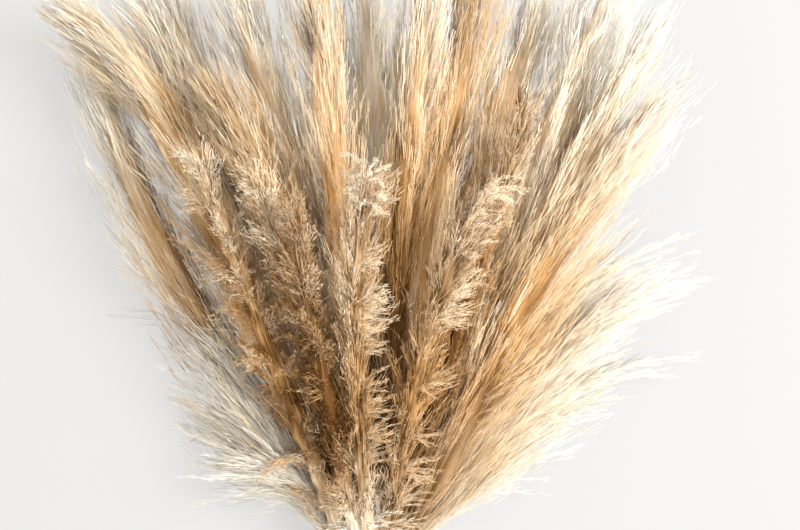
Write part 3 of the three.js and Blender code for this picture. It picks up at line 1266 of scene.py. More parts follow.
@dataclass
class Plume:
    """One plume, grown along its packed line.

    Attributes:
        label: The stalk's label, such as c2.
        look: What sets this plume apart.
        line: Its centre line.
        strands: The solids that it is made of.
        rachis_radius: The rachis' radius at the foot.
        below_foot: How far below the line's foot the lowest branch sits.
    """

    label: str
    look: Look
    line: PlumeLine
    strands: Strands = field(default_factory=Strands)
    rachis_radius: float = 1.7 * MM
    below_foot: float = 30 * MM

    @property
    def base(self) -> float:
        """The lowest branch's place: a little below the line's foot, on the culm."""
        return -self.below_foot / self.line.length

    @property
    def top(self) -> float:
        """The highest branch's place, as a share of the line's length."""
        return self.look.habit.value.top * self.look.top

    def fan(self, around: Array) -> Array:
        """Works out how far the plume fans out to each side, against its kind.

        Args:
            around: Turns from the right.

        Returns:
            Factors, from the look's right and left in turn.
        """
        side = np.cos(around)
        right = np.maximum(side, 0) * (self.look.right - 1.0)
        left = np.maximum(-side, 0) * (self.look.left - 1.0)
        return 1.0 + right + left

    def outline(self, rise: Array) -> Array:
        """Gives how wide the plume is, against its middle.

        From the foot it widens evenly to its full width, and towards the tip it narrows with rise ** 4.

        Args:
            rise: From 0 at the lowest branch to 1 at the highest.

        Returns:
            Factors, at most 1.
        """
        growth = self.look.habit.value
        return np.minimum(1.0, growth.foot_width + WIDENING * rise) * (1.0 - growth.taper * rise**4)

    def lobes(self, foot: Array, around: Array) -> Array:
        """Works out how full the plume is: the sum of three waves that wind round it, each at its own pace.

        Args:
            foot: Places along the plume, as shares of its length.
            around: Their turns from the right.

        Returns:
            Mostly from -1, thin, to 1, full.
        """
        rng = seeded(self.label + "_lobes")
        swell = np.zeros_like(foot)
        waves = self.line.length / self.look.habit.value.lobe_pitch
        for turns, against in LOBE_WAVES:
            pace = waves * against * rng.uniform(0.85, 1.15) * rng.choice([-1.0, 1.0])
            swell += np.sin(turns * around + FULL_TURN * pace * foot + rng.uniform(0, FULL_TURN))
        return swell / LOBE_HEIGHT

    def grow_rachis(self) -> None:
        """Makes the rachis: a tube on the line whose radius falls with (1 - share) ** 1.3 towards its tip."""
        share = np.linspace(-0.004, 1.0, 25)
        radius = self.rachis_radius * (1.0 - share.clip(0)) ** 1.3 + 0.1 * MM
        tones = np.tile([0.42, 0.8], (len(share), 1))
        self.strands.add_tubes(self.line.at(share)[None], radius[None], tones[None], sides=6)

    def sweep_out(
        self,
        rng: np.random.Generator,
        foot: Array,
        around: Array,
        length: Array,
        reach: Array,
        sweep: Array,
        droop: float,
    ) -> Array:
        """Works out the middles of branches that leave the rachis and run forward along it.

        A branch's distance from the rachis is reach * (1 - (1 - s) ** sweep), where s runs from 0 to 1
        along it. Two slow sines carry it a little aside. The lower a branch, the more it arches back
        and down, with s ** 2.

        Args:
            rng: The plume's random numbers.
            foot: Where the branches leave the rachis, as shares of its length.
            around: Which way they leave it, as a turn from the right.
            length: Their lengths.
            reach: How far their tips stand out.
            sweep: How they turn.
            droop: How far the lowest arch back.

        Returns:
            The paths, of shape (branches, steps, 3).
        """
        growth = self.look.habit.value
        count = len(foot)
        s = np.linspace(0, 1, BRANCH_STEPS)[None, :]
        reach = np.minimum(reach, MOST_REACH * length)
        share = foot[:, None] + np.sqrt(length**2 - reach**2)[:, None] * s / self.line.length
        level, lean = self.line.across(share)
        turn = around[:, None] + rng.normal(0, 0.3, (count, 1)) * s
        out = reach[:, None] * (1.0 - (1.0 - s) ** sweep[:, None])
        paths = self.line.at(share)
        paths = paths + out[..., None] * spokes(turn, level, lean)
        for direction in (level, lean):
            pace = rng.uniform(0.5, 1.6, (count, 1))
            phase = rng.uniform(0, FULL_TURN, (count, 1))
            swing = growth.wave * length[:, None] * s * np.sin(FULL_TURN * pace * s + phase)
            paths = paths + swing[..., None] * direction
        arch = droop * (1.0 - foot) * rng.uniform(0.2, 1.7, count) * length
        return paths + (arch[:, None] * s**2)[..., None] * BACK_AND_DOWN

    def shade(self, share: Array) -> tuple[Array, Array]:
        """Gives the plume's own tone and warmth at shares of its length.

        The tone runs in straight stretches from foot to waist to tip. The hair is warmest a little
        above the waist, where it lies thickest.

        Args:
            share: The shares, of any shape.

        Returns:
            The tones and the warmths.
        """
        tone = np.interp(share, TONE_PLACES, self.look.tone)
        return tone, self.look.warmth + np.interp(share, WARMTH_PLACES, WARMTH_CHANGES)

    def grow_branches(self, rng: np.random.Generator) -> Shoots:
        """Works out the branches, which grow in bunches.

        They fill the plume's round and crowd a little to its outside. What lies deep under the plume is
        painted darker and warmer than what lies on top of it, as painted shade.

        Args:
            rng: The plume's random numbers.

        Returns:
            The branches.
        """
        growth, look = self.look.habit.value, self.look
        bunches = int(growth.branches * look.share / growth.bunch)
        rise = ((np.arange(bunches) + rng.uniform(0, 1, bunches)) / bunches) ** growth.crowd
        around = np.arange(bunches) * GOLDEN_ANGLE + rng.normal(0, BUNCH_SWING, bunches)
        fill = rng.uniform(0.02, 1.0, bunches) ** FILL_POWER
        sweep = rng.uniform(*growth.sweep, bunches)
        tone = rng.normal(0, 0.035, bunches)
        each = (rise, around, fill, sweep, tone)
        rise, around, fill, sweep, tone = (np.repeat(values, growth.bunch) for values in each)
        count = len(rise)
        foot = self.base + (self.top - self.base) * rise
        foot = foot + rng.normal(0, BRANCH_STRAY, count) / self.line.length
        around = around + rng.normal(0, BRANCH_SWING, count)
        fill = fill * rng.uniform(0.85, 1.05, count)
        room = (1.0 - foot) * self.line.length
        length = np.minimum(rng.uniform(*growth.branch_length, count), rng.uniform(0.6, 1.0, count) * room)
        lobe = self.lobes(foot, around)
        swell = 1.0 + growth.lobe_depth * lobe
        reach = growth.radius * self.fan(around) * fill * self.outline(rise) * swell
        paths = self.sweep_out(rng, foot, around, length, reach, sweep, growth.droop)
        # Painted shade: what lies deep under the plume is darker and warmer.
        depth = 0.5 - 0.5 * fill * np.sin(around)
        # Painted light and shade: lighter on the fuller places, darker in the creases between them.
        fuller = LOBE_SHADE * growth.lobe_depth * lobe
        # Painted shade: darker on the plume's right side than on its left.
        tone = tone + DEPTH_SHADE * (EVEN_DEPTH - depth) + fuller - look.painted_side_shade * fill * np.cos(around)
        warmth = DEPTH_SHADE_WARMTH * (depth - EVEN_DEPTH) - LOBE_SHADE_WARMTH * growth.lobe_depth * lobe
        return Shoots(
            paths=paths,
            lengths=length,
            foot=foot,
            span=length / self.line.length,
            tone=tone,
            warmth=warmth + rng.normal(0, WARMTH_FLECK, count),
            width=1.9 - 0.9 * fill,
            radius=BRANCH_RADIUS,
        )

    def grow_sprays(self, rng: np.random.Generator) -> Shoots:
        """Works out the sprays: bunches of slim branches that stand out past the rest, to the look's side.

        Args:
            rng: The plume's random numbers.

        Returns:
            The sprays.
        """
        growth, look = self.look.habit.value, self.look
        bunches = int(growth.sprays * look.share / growth.spray_bunch)
        middle, stray = look.side.value
        foot = rng.uniform(0.0, min(0.9, self.top + 0.25), bunches)
        around = middle + rng.normal(0, stray, bunches)
        length = rng.uniform(*growth.spray_length, bunches)
        reach = rng.uniform(*growth.spray_radius, bunches)
        sweep = rng.uniform(*growth.spray_sweep, bunches)
        each = (foot, around, length, reach, sweep)
        foot, around, length, reach, sweep = (np.repeat(values, growth.spray_bunch) for values in each)
        count = len(foot)
        foot = foot + rng.normal(0, SPRAY_STRAY, count) / self.line.length
        around = around + rng.normal(0, SPRAY_SWING, count)
        length = length * rng.uniform(0.7, 1.05, count) * (1.0 - 0.5 * foot**2)
        reach = reach * rng.uniform(0.8, 1.05, count) * self.fan(around) * (1.0 - 0.7 * foot**2)
        paths = self.sweep_out(rng, foot, around, length, reach, sweep, growth.spray_droop)
        return Shoots(
            paths=paths,
            lengths=length,
            foot=foot,
            span=length / self.line.length,
            tone=growth.spray_tone + rng.normal(0, 0.05, count),
            warmth=rng.normal(-0.10, 0.08, count),
            width=np.full(count, SLIM),
            radius=SPRAY_RADIUS,
        )

    def grow_crest(self, rng: np.random.Generator, crest: Crest) -> Shoots:
        """Works out branches that lean out or curl over to a side.

        A branch sets out at an angle from the rachis' direction and turns evenly as it goes, so that
        its middle is the sum of short steps in the turned directions.

        Args:
            rng: The plume's random numbers.
            crest: What they are like.

        Returns:
            The branches.
        """
        count, steps = crest.count, CREST_STEPS
        foot = rng.uniform(*crest.feet, count)
        length = rng.uniform(*crest.length, count)
        heading = self.line.heading(foot)[:, None]
        level, lean = self.line.across(foot)
        turn = np.radians(rng.uniform(*crest.set_out, count))[:, None]
        turn = turn + np.radians(rng.uniform(*crest.hook, count))[:, None] * np.linspace(0, 1, steps)
        tilt = rng.normal(0.15, 0.3, count)[:, None, None]
        ways = unit(spokes(turn, heading, level[:, None]) + tilt * lean[:, None])
        paths = self.line.at(foot)[:, None] + np.cumsum(ways, axis=1) * (length / steps)[:, None, None]
        return Shoots(
            paths=paths,
            lengths=length,
            foot=foot,
            span=np.zeros(count),
            tone=crest.tone + rng.normal(0, 0.04, count),
            warmth=np.full(count, -0.25),
            width=np.full(count, SLIM),
            radius=CREST_RADIUS,
        )

    def add_body(self, rng: np.random.Generator) -> None:
        """Adds the body: the skin of the densely matted hair that lies within the loose hairs.

        Its radius is a share of the reach of the branches that pass there. It grows from nothing at the
        lowest branch and falls to nothing past the highest. Matted strands run along it as ridges: the
        running sum of random heights, down each column of corners. It is painted darker and warmer than
        the loose hair, and lighter on its ridges than in its furrows, as painted shade.

        Args:
            rng: The plume's random numbers.
        """
        growth, look = self.look.habit.value, self.look
        rows, columns, run = growth.body_rows, BODY_COLUMNS, growth.ridge_run
        bearing = sum(growth.branch_length) / 2
        end = min(self.top + 0.5 * bearing / self.line.length, 0.97)
        even = FULL_TURN * np.arange(columns) / columns
        turns = even + 0.5 * np.cos(even)
        share, around = np.meshgrid(np.linspace(self.base, end, rows), turns, indexing="ij")
        foot = share - 0.6 * bearing / self.line.length
        rise = ((foot - self.base) / (self.top - self.base)).clip(0, 1)
        opening = ((share - self.base) * self.line.length / (0.6 * bearing)).clip(0, 1) ** 0.6
        closing = ((end - share) * self.line.length / (0.9 * bearing)).clip(0, 1) ** 0.7
        width = self.outline(rise) * opening * closing
        lobe = self.lobes(foot, around)
        heights = rng.normal(0, 1, (rows + run, columns)).cumsum(axis=0)
        ridge = (heights[run:] - heights[:-run]) / np.sqrt(run)
        radius = growth.body * growth.radius * self.fan(around) * (1.0 + 0.4 * growth.lobe_depth * lobe)
        radius = radius + growth.ridge * ridge
        radius = np.maximum(radius, 0.1 * growth.radius) * width + 0.3 * MM
        level, lean = self.line.across(share)
        rings = self.line.at(share) + spokes(around, level, lean) * radius[..., None]
        tone, warmth = self.shade(share)
        # Painted shade: the body is darker and warmer than the loose hair, lighter on ridges and fuller
        # places.
        tone = tone - BODY_SHADE + LOBE_SHADE * growth.lobe_depth * lobe
        # Painted shade: darker on the body's right side than on its left.
        tone = tone + RIDGE_SHADE * ridge - 0.7 * look.painted_side_shade * np.cos(around)
        warmth = warmth + BODY_SHADE_WARMTH - LOBE_SHADE_WARMTH * growth.lobe_depth * lobe
        tones = np.stack([tone, warmth], axis=-1)
        tip = self.line.at(np.array([end]))
        self.strands.add_rings(rings[None], tip, tones[None], tones[-1:, 0])

    def add_mats(self, rng: np.random.Generator, shoots: Shoots, count: int) -> None:
        """Adds the undercoat: broad pointed blades that fill the room between the hairs.

        They lie along the shoots, a little deeper in the plume than these.

        Args:
            rng: The plume's random numbers.
            shoots: What they lie along.
            count: How many.
        """
        growth = self.look.habit.value
        owner, place = shoots.pick(rng, count, 0.0, 0.8)
        roots, heading = shoots.at(owner, place)
        share = shoots.share(owner, place)
        roots = (1.0 - MAT_DEPTH) * roots + MAT_DEPTH * self.line.at(share)
        roots = roots + rng.normal(0, 1.5 * growth.spread, roots.shape)
        ways = unit(heading * (1.0 - growth.comb) + self.line.heading(share) * growth.comb)
        length = rng.uniform(*growth.mat_length, count)
        width = rng.uniform(*growth.mat_width, count)
        tone, warmth = self.shade(share)
        # Painted shade: the mats lie deep in the plume, so they are darker and warmer, most at their feet.
        tone = tone + shoots.tone[owner] - 0.02
        warmth = warmth + shoots.warmth[owner] + 0.05
        self.strands.add_slivers(
            roots,
            leaning(rng, ways, (0, 10)) * length[:, None],
            width,
            np.stack([tone - 0.05, warmth + 0.20], axis=1),
            np.stack([tone + 0.05, warmth - 0.05], axis=1),
            point=0.2,
        )

    def add_locks(self, rng: np.random.Generator) -> None:
        """Adds the matted locks: broad pointed blades that leave the rachis at a small angle.

        Args:
            rng: The plume's random numbers.
        """
        growth, look = self.look.habit.value, self.look
        count = int(growth.locks * look.share)
        share = rng.uniform(self.base, self.top, count)
        roots = self.line.at(share)
        room = (1.0 - share) * self.line.length
        length = np.minimum(rng.uniform(*LOCK_LENGTH, count), room)
        level, lean = self.line.across(share)
        around = rng.uniform(0, FULL_TURN, count)
        off_tip = room / LOCK_FADING
        reach = 0.75 * growth.radius * self.fan(around) * rng.uniform(0.1, 1.0, count)
        reach = np.minimum(reach * np.minimum(1.0, off_tip), 0.5 * length)
        rays = self.line.heading(share) * length[:, None] + spokes(around, level, lean) * reach[:, None]
        width = rng.uniform(*LOCK_WIDTH, count) * MM * np.minimum(1.0, 0.3 + off_tip)
        tone, warmth = self.shade(share)
        # Painted shade: the locks lie close round the rachis, so they are darker and warmer, most at their
        # feet.
        tone = tone - 0.06 + rng.normal(0, 0.03, count)
        warmth = warmth + 0.10 + rng.normal(0, WARMTH_FLECK, count)
        tip_tone, tip_warmth = self.shade(share + length / self.line.length)
        self.strands.add_slivers(
            roots,
            rays,
            width,
            np.stack([tone - 0.06, warmth + 0.25], axis=1),
            np.stack([tip_tone - 0.03 + rng.normal(0, 0.04, count), tip_warmth], axis=1),
            point=0.15,
        )

    def add_stalks(self, shoots: Shoots) -> None:
        """Adds the shoots' own thin stalks, which taper evenly to a fifth of their radius.

        Args:
            shoots: The shoots.
        """
        count, steps, _ = shoots.paths.shape
        s = np.linspace(0, 1, steps)[None, :]
        radii = shoots.radius * (1.0 - 0.8 * s) * np.ones((count, 1))
        tone, warmth = self.shade(shoots.foot[:, None] + shoots.span[:, None] * s)
        tone = tone + shoots.tone[:, None] - 0.06
        warmth = warmth + shoots.warmth[:, None]
        self.strands.add_tubes(shoots.paths, radii, np.stack([tone, warmth], axis=-1))

    def add_hairs(
        self,
        rng: np.random.Generator,
        shoots: Shoots,
        count: int,
        lengths: tuple[float, float],
        angles: tuple[float, float],
        spread: float,
        comb: float = 0.0,
        bend: float = 0.0,
    ) -> None:
        """Adds hairs along shoots, a little shorter towards each shoot's tip, and lighter from foot to tip.

        The softer a plume's shading, the smaller that difference from foot to tip. The darker, warmer feet
        are partly the hair's own colour and partly painted shade deep in the plume.

        Args:
            rng: The plume's random numbers.
            shoots: What bears the hairs.
            count: How many hairs.
            lengths: The least and the greatest length of a hair.
            angles: The least and the greatest angle to the shoot, in degrees.
            spread: How far their feet stray from the shoot.
            comb: How far the hairs turn to the rachis' direction.
            bend: How far their middles are bent aside, as a share of their length.
        """
        growth = self.look.habit.value
        owner, place = shoots.pick(rng, count, 0.02, 0.995)
        roots, heading = shoots.at(owner, place)
        roots = roots + rng.normal(0, spread, roots.shape)
        least, most = lengths
        reach = least + (most - least) * rng.uniform(0, 1, count) ** 1.5
        reach = reach * (0.55 + 0.45 * (1 - place) ** 0.6)
        share = shoots.share(owner, place)
        combed = unit(heading * (1.0 - comb) + self.line.heading(share) * comb)
        rays = leaning(rng, combed, angles) * reach[:, None]
        width = growth.hair_width * shoots.width[owner] * rng.uniform(0.7, 1.2, count)
        tone, warmth = self.shade(share + 0.5 * reach / self.line.length)
        tone = tone + shoots.tone[owner] + rng.normal(0, growth.fleck, count)
        warmth = warmth + shoots.warmth[owner] + rng.normal(0, WARMTH_FLECK, count)
        # Darker, warmer feet and lighter tips: partly the hair's own colour, partly painted shade deep in the
        # plume.
        edge = 0.02 + 0.20 * (1.0 - growth.softness)
        root_tones = np.stack([tone - 0.8 * edge, warmth + 0.25], axis=1)
        tip_tones = np.stack([tone + edge, warmth - 0.15], axis=1)
        if bend:
            aside = unit(np.cross(rays, rng.normal(0, 1, rays.shape)))
            bends = aside * (reach * rng.uniform(0.3, 1.4, count) * bend)[:, None]
            self.strands.add_bent_hairs(roots, rays, bends, width * 1.15, root_tones, tip_tones)
        else:
            self.strands.add_slivers(roots, rays, width, root_tones, tip_tones)

    def build(self, material: bpy.types.Material) -> bpy.types.Object:
        """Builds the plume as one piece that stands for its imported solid.

        Args:
            material: The plumes' finish.

        Returns:
            The finished piece.
        """
        rng = seeded(self.label)
        growth = self.look.habit.value
        self.grow_rachis()
        self.add_body(rng)
        self.add_locks(rng)
        branches = self.grow_branches(rng)
        sprays = self.grow_sprays(rng)
        self.add_stalks(branches)
        self.add_stalks(sprays)
        own = int(growth.hairs * self.look.share)
        length, angle = growth.hair_length, growth.hair_angle
        self.add_hairs(rng, branches, own, length, angle, growth.spread, growth.comb)
        own = int(growth.spray_hairs * self.look.share)
        length, angle, spread = growth.spray_hair_length, growth.spray_hair_angle, 0.5 * growth.spread
        self.add_hairs(rng, sprays, own, length, angle, spread, bend=growth.spray_bend)
        self.add_mats(rng, branches, int(growth.mats * self.look.share))
        for crest in self.look.crests:
            curls = self.grow_crest(rng, crest)
            own = crest.count * crest.hairs
            self.add_stalks(curls)
            self.add_hairs(rng, curls, own, crest.hair_length, CREST_HAIR_ANGLE, 1 * MM, bend=0.15)
        made = self.strands.to_object("plumage_" + self.label, material, self.line, growth.softness)
        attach(made, "root")
        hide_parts("plume_" + self.label)
        log.info("%s: %d triangles", made.name, self.strands.triangles)
        return made


# --------------------------------------------------------------------------------------------------
# Culms
# --------------------------------------------------------------------------------------------------

CUT_FACE = 0.72  # the pith's radius at the cut end, against the culm's
UPPER_END = 0.6  # the radius just before the closed upper end, against the culm's
PITH_TONE = 0.97
RIND_TONE = 0.35  # the edge of the cut
JOINT_RINGS = np.array([-2.2, -1.5, -0.9, 0.0, 0.9, 1.8])  # from a joint, in reaches of its swelling


@dataclass
class Culm:
    """One cut stem: a hard, jointed tube that carries a plume, with what is left of a leaf's sheath.

    Attributes:
        label: The stalk's label.
        line: Its centre line.
        strands: The solids that it is made of.
        joint_count: How many joints are laid out.
        joint_pitch: The least and the greatest distance between joints.
        joint_shift: How far the whole row of joints is moved down, in millimetres.
        swelling: How much thicker a joint is, as a share.
        swelling_reach: How far a joint's swelling reaches along the culm.
        end_stretch: How far the joints stay off the culm's ends.
        tie_start: From the culm's second ring to the middle of the tie.
        tie_stretch: How far the joints stay off it.
        sheath_length: The least and the greatest length of the sheath.
        sheath_wall: Its thickness.
        sheath_turn: How far round the culm it goes.
        sides: The corners of the culm's section.
    """

    label: str
    line: StemLine
    strands: Strands = field(default_factory=Strands)
    joint_count: int = 8
    joint_pitch: tuple[float, float] = (105 * MM, 150 * MM)
    joint_shift: tuple[float, float] = (30, 80)
    swelling: float = 0.09
    swelling_reach: float = 2.4 * MM
    end_stretch: float = 12 * MM
    tie_start: float = 10 * MM
    tie_stretch: float = 22 * MM
    sheath_length: tuple[float, float] = (55 * MM, 95 * MM)
    sheath_wall: float = 0.22 * MM
    sheath_turn: float = 5.2
    sides: int = 10

    def joints(self, rng: np.random.Generator) -> Array:
        """Places the joints along the culm, and leaves its ends and the stretch in the tie free of them.

        Args:
            rng: The culm's random numbers.

        Returns:
            The joints' distances from the cut end.
        """
        steps = rng.uniform(*self.joint_pitch, self.joint_count).cumsum()
        steps = steps - rng.uniform(*self.joint_shift) * MM
        in_tie = np.abs(steps - self.line.along[1] - self.tie_start) < self.tie_stretch
        inside = (steps > self.end_stretch) & (steps < self.line.length - self.end_stretch)
        return steps[inside & ~in_tie]

    def radius(self, along: Array, joints: Array) -> Array:
        """Gives the culm's radius at distances from its cut end.

        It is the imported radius, times one plus a bell at each joint, less a narrower bell just below it
        where the leaf came off. A bell is exp(-(distance / reach) ** 2).

        Args:
            along: The distances.
            joints: The joints' distances.

        Returns:
            One radius for each distance.
        """
        apart = along[:, None] - joints
        swell = self.swelling * np.exp(-((apart / self.swelling_reach) ** 2))
        below = (apart + 1.5 * self.swelling_reach) / (0.5 * self.swelling_reach)
        groove = 0.7 * self.swelling * np.exp(-(below**2))
        return np.interp(along, self.line.along, self.line.radii) * (1.0 + (swell - groove).sum(axis=1))

    def grow_tube(self, rng: np.random.Generator, joints: Array) -> None:
        """Makes the tube, with more rings at its joints, a pale pithy cut end and a closed upper end.

        Its tone is a slow wave, less a bell at each joint, and its warmth falls evenly from the foot up.

        Args:
            rng: The culm's random numbers.
            joints: The joints' distances from the cut end.
        """
        length = self.line.length
        near = (joints[:, None] + self.swelling_reach * JOINT_RINGS).ravel()
        along = np.sort(np.concatenate([[0.0, 0.15 * MM], np.linspace(1 * MM, length - 1 * MM, 22), near]))
        along = np.append(along[along <= length - 1 * MM], [length - 0.3 * MM, length])
        radii = self.radius(along, joints)
        radii[0] *= CUT_FACE
        radii[-2] *= UPPER_END
        share = along / length
        apart = np.abs(along[:, None] - joints).min(axis=1)
        tone = 0.58 + 0.10 * np.sin(FULL_TURN * (share * rng.uniform(1.0, 2.5) + rng.uniform(0, 1)))
        tone = tone - 0.40 * np.exp(-((apart / (1.4 * self.swelling_reach)) ** 2)) + rng.normal(0, 0.05)
        tone[:2] = PITH_TONE, RIND_TONE
        warmth = np.clip(0.95 - 0.75 * share + rng.normal(0, 0.12), 0.0, 1.0)
        tones = np.stack([tone, warmth], axis=1)
        self.strands.add_tubes(self.line.at(along)[None], radii[None], tones[None], sides=self.sides)

    def grow_sheath(self, rng: np.random.Generator, joints: Array) -> None:
        """Makes the sheath: a papery strip rolled round the culm above a joint, open along one side.

        Its edge is slanted and ragged: the length changes with the cosine of the turn, and each column
        is cut a little differently. Towards that edge the strip opens outwards with the third power of
        the way along it.

        Args:
            rng: The culm's random numbers.
            joints: The joints' distances from the cut end.
        """
        foot = rng.choice(joints[joints < self.line.along[1]])
        length = min(rng.uniform(*self.sheath_length), self.line.along[1] - foot - 5 * MM)
        turn = rng.uniform(0, FULL_TURN) + np.linspace(0, self.sheath_turn, 12)
        up = np.linspace(0, 1, 9)[:, None]
        reach = length * (0.80 + 0.16 * np.cos(turn - turn[3]) + rng.uniform(-0.06, 0.04, len(turn)))
        along = foot + up * reach
        middle = self.line.at(along.ravel())
        heading = unit(self.line.at(along.ravel() + 1 * MM) - middle).reshape(*along.shape, 3)
        level = unit(np.cross(heading, UP))
        lean = np.cross(level, heading)
        spoke = spokes(turn, level, lean)
        own = np.interp(along, self.line.along, self.line.radii)
        inside = own + 0.10 * MM + 0.45 * MM * up**3 * rng.uniform(0.4, 1.6, len(turn))
        middle = middle.reshape(*along.shape, 3)
        tone = 0.86 - 0.30 * (1.0 - up) ** 6 + 0.05 * np.sin(3 * turn) + rng.normal(0, 0.03, along.shape)
        tones = np.stack([tone, np.full(along.shape, 0.75)], axis=-1)
        inner = middle + spoke * inside[..., None]
        outer = middle + spoke * (inside + self.sheath_wall)[..., None]
        self.strands.add_shell(outer, inner, tones)

    def build(self, material: bpy.types.Material) -> bpy.types.Object:
        """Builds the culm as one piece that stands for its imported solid.

        Args:
            material: The culms' finish.

        Returns:
            The finished piece.
        """
        rng = seeded("culm_" + self.label)
        joints = self.joints(rng)
        self.grow_tube(rng, joints)
        self.grow_sheath(rng, joints)
        made = self.strands.to_object("stem_" + self.label, material)
        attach(made, "root")
        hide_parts("culm_" + self.label)
        log.info("%s: %d triangles", made.name, self.strands.triangles)
        return made


# --------------------------------------------------------------------------------------------------
# Tie
# --------------------------------------------------------------------------------------------------

# The way of one twine through the knot, in twine diameters from the knot's middle: across the tie, along it,
# and up. It comes up out of the winding, makes a bight, and runs out to its cut end. The other twine is the
# same, turned by half a turn, so that the two bights hold each other in a reef knot.
KNOT_ROUTE = (
    (-5.2, -0.5, -1.5),
    (-3.2, -0.55, -0.3),
    (-1.0, -0.55, 0.50),
    (0.6, -0.95, 0.1),
    (1.5, -0.8, -0.5),
    (1.9, 0.0, -0.6),
    (1.5, 0.8, -0.5),
    (0.6, 0.95, 0.1),
    (-1.0, 0.55, 0.50),
    (-2.8, 0.9, 0.25),
    (-4.6, 1.9, -0.6),
    (-6.6, 2.9, -1.3),
)
PLIES = np.arange(3)[:, None]


@dataclass
class Tie:
    """The twine that holds the stems: three plies twisted together, wound round and knotted on top.

    Attributes:
        places: The middles of the stems in the tie.
        radius: The twine's radius.
        turns: How often it goes round.
        ply_radius: The radius of one ply.
        lay: The length over which the plies go once round each other.
        step: Between rings along a ply.
        fibre_pitch: The twine's length for each loose fibre.
        fibre_width: A loose fibre's width.
    """

    places: Array
    radius: float = 1.6 * MM
    turns: int = 5
    ply_radius: float = 0.82 * MM
    lay: float = 10 * MM
    step: float = 2.4 * MM
    fibre_pitch: float = 1.6 * MM
    fibre_width: float = 0.16 * MM

    def twist(self, strands: Strands, route: Array, beside: Array, rng: np.random.Generator) -> None:
        """Adds three plies round a route, and the loose fibres that stand out of them.

        A ply's middle goes round the route once for each lay, at the twine's radius less its own.

        Args:
            strands: What the plies are added to.
            route: The twine's middle, as close points.
            beside: A direction that the route never runs in.
            rng: Random numbers.
        """
        spans = np.linalg.norm(np.diff(route, axis=0), axis=1)
        run = np.concatenate([[0.0], spans.cumsum()])
        at = np.linspace(0, run[-1], int(run[-1] / self.step))
        middle = np.stack([np.interp(at, run, route[:, axis]) for axis in range(3)], axis=1)
        heading = unit(np.gradient(middle, axis=0))
        level = unit(np.cross(heading, beside))
        lean = np.cross(level, heading)
        turn = FULL_TURN * (at / self.lay + PLIES / len(PLIES))
        paths = middle + (self.radius - self.ply_radius) * spokes(turn, level, lean)
        radii = self.ply_radius * (1.0 + 0.07 * np.sin(at * 900 + 2.1 * PLIES))
        tone = 0.62 + 0.10 * np.sin(at * 61 + 1.7 * PLIES) + rng.normal(0, 0.03, radii.shape)
        tones = np.stack([tone, np.full(radii.shape, 0.6)], axis=-1)
        strands.add_tubes(paths, radii, tones, sides=6, beside=beside)
        count = int(run[-1] / self.fibre_pitch)
        ply, place = rng.integers(0, len(PLIES), count), rng.integers(1, len(at) - 1, count)
        out = unit(paths[ply, place] - middle[place])
        stand = out * rng.uniform(0.2, 0.9, (count, 1))
        stand = stand + heading[place] * rng.choice([-1.0, 1.0], (count, 1))
        rays = unit(stand + rng.normal(0, 0.25, (count, 3))) * rng.uniform(2.5 * MM, 6 * MM, (count, 1))
        fibre_tone = np.stack([rng.uniform(0.6, 0.95, count), np.full(count, 0.5)], axis=1)
        roots = paths[ply, place] + out * 0.7 * self.ply_radius
        strands.add_slivers(roots, rays, np.full(count, self.fibre_width), fibre_tone, fibre_tone)

    def winding_route(self) -> Array:
        """Works out the twine's way round the stems.

        At each turn it rides on the stem that stands out furthest that way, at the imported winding's
        distance, and it moves on evenly along the stems.

        Returns:
            The twine's middle, as close points.
        """
        low, high = np.array(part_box("twine_winding"))
        out = high[0] - self.places[:, 0].max() - self.radius
        turn = np.linspace(0, FULL_TURN * self.turns, 90 * self.turns) + FULL_TURN / 4
        aim = np.stack([np.cos(turn), np.sin(turn)], axis=1)
        furthest = (self.places[:, [0, 2]] @ aim.T).argmax(axis=0)
        across, height = (self.places[furthest][:, [0, 2]] + out * aim).T
        run = np.linspace(low[1] + self.radius, high[1] - self.radius, len(turn))
        return np.stack([across, run, height], axis=1)

    def knot_route(self, side: float) -> Array:
        """Works out one twine's way through the knot: a smooth curve through its points.

        Between two points the curve is a cubic whose slopes at the points are the mean of the steps on
        either side.

        Args:
            side: 1 for the first twine and -1 for the other, which is turned by half a turn.

        Returns:
            The twine's middle, as close points.
        """
        low, high = np.array(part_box("twine_knot"))
        points = np.array(KNOT_ROUTE) * 2 * self.radius * np.array([side, side, 1.0]) + (low + high) / 2
        slopes = np.gradient(points, axis=0)
        t = np.linspace(0, 1, 10, endpoint=False)[None, :, None]
        curve = hermite(t, points[:-1, None], points[1:, None], slopes[:-1, None], slopes[1:, None])
        return curve.reshape(-1, 3)

    def build(self, material: bpy.types.Material) -> None:
        """Builds the winding and the knot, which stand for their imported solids.

        Args:
            material: The twine's finish.
        """
        winding, knot = Strands(), Strands()
        self.twist(winding, self.winding_route(), np.array([0.0, 1.0, 0.0]), seeded("winding"))
        for side in (1.0, -1.0):
            self.twist(knot, self.knot_route(side), UP, seeded(f"knot {side}"))
        pieces = ((winding, "tie_winding", "twine_winding"), (knot, "tie_knot", "twine_knot"))
        for strands, name, node in pieces:
            made = strands.to_object(name, material)
            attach(made, "root")
            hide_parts(node)
            log.info("%s: %d triangles", made.name, strands.triangles)


# --------------------------------------------------------------------------------------------------
# Studio
# --------------------------------------------------------------------------------------------------


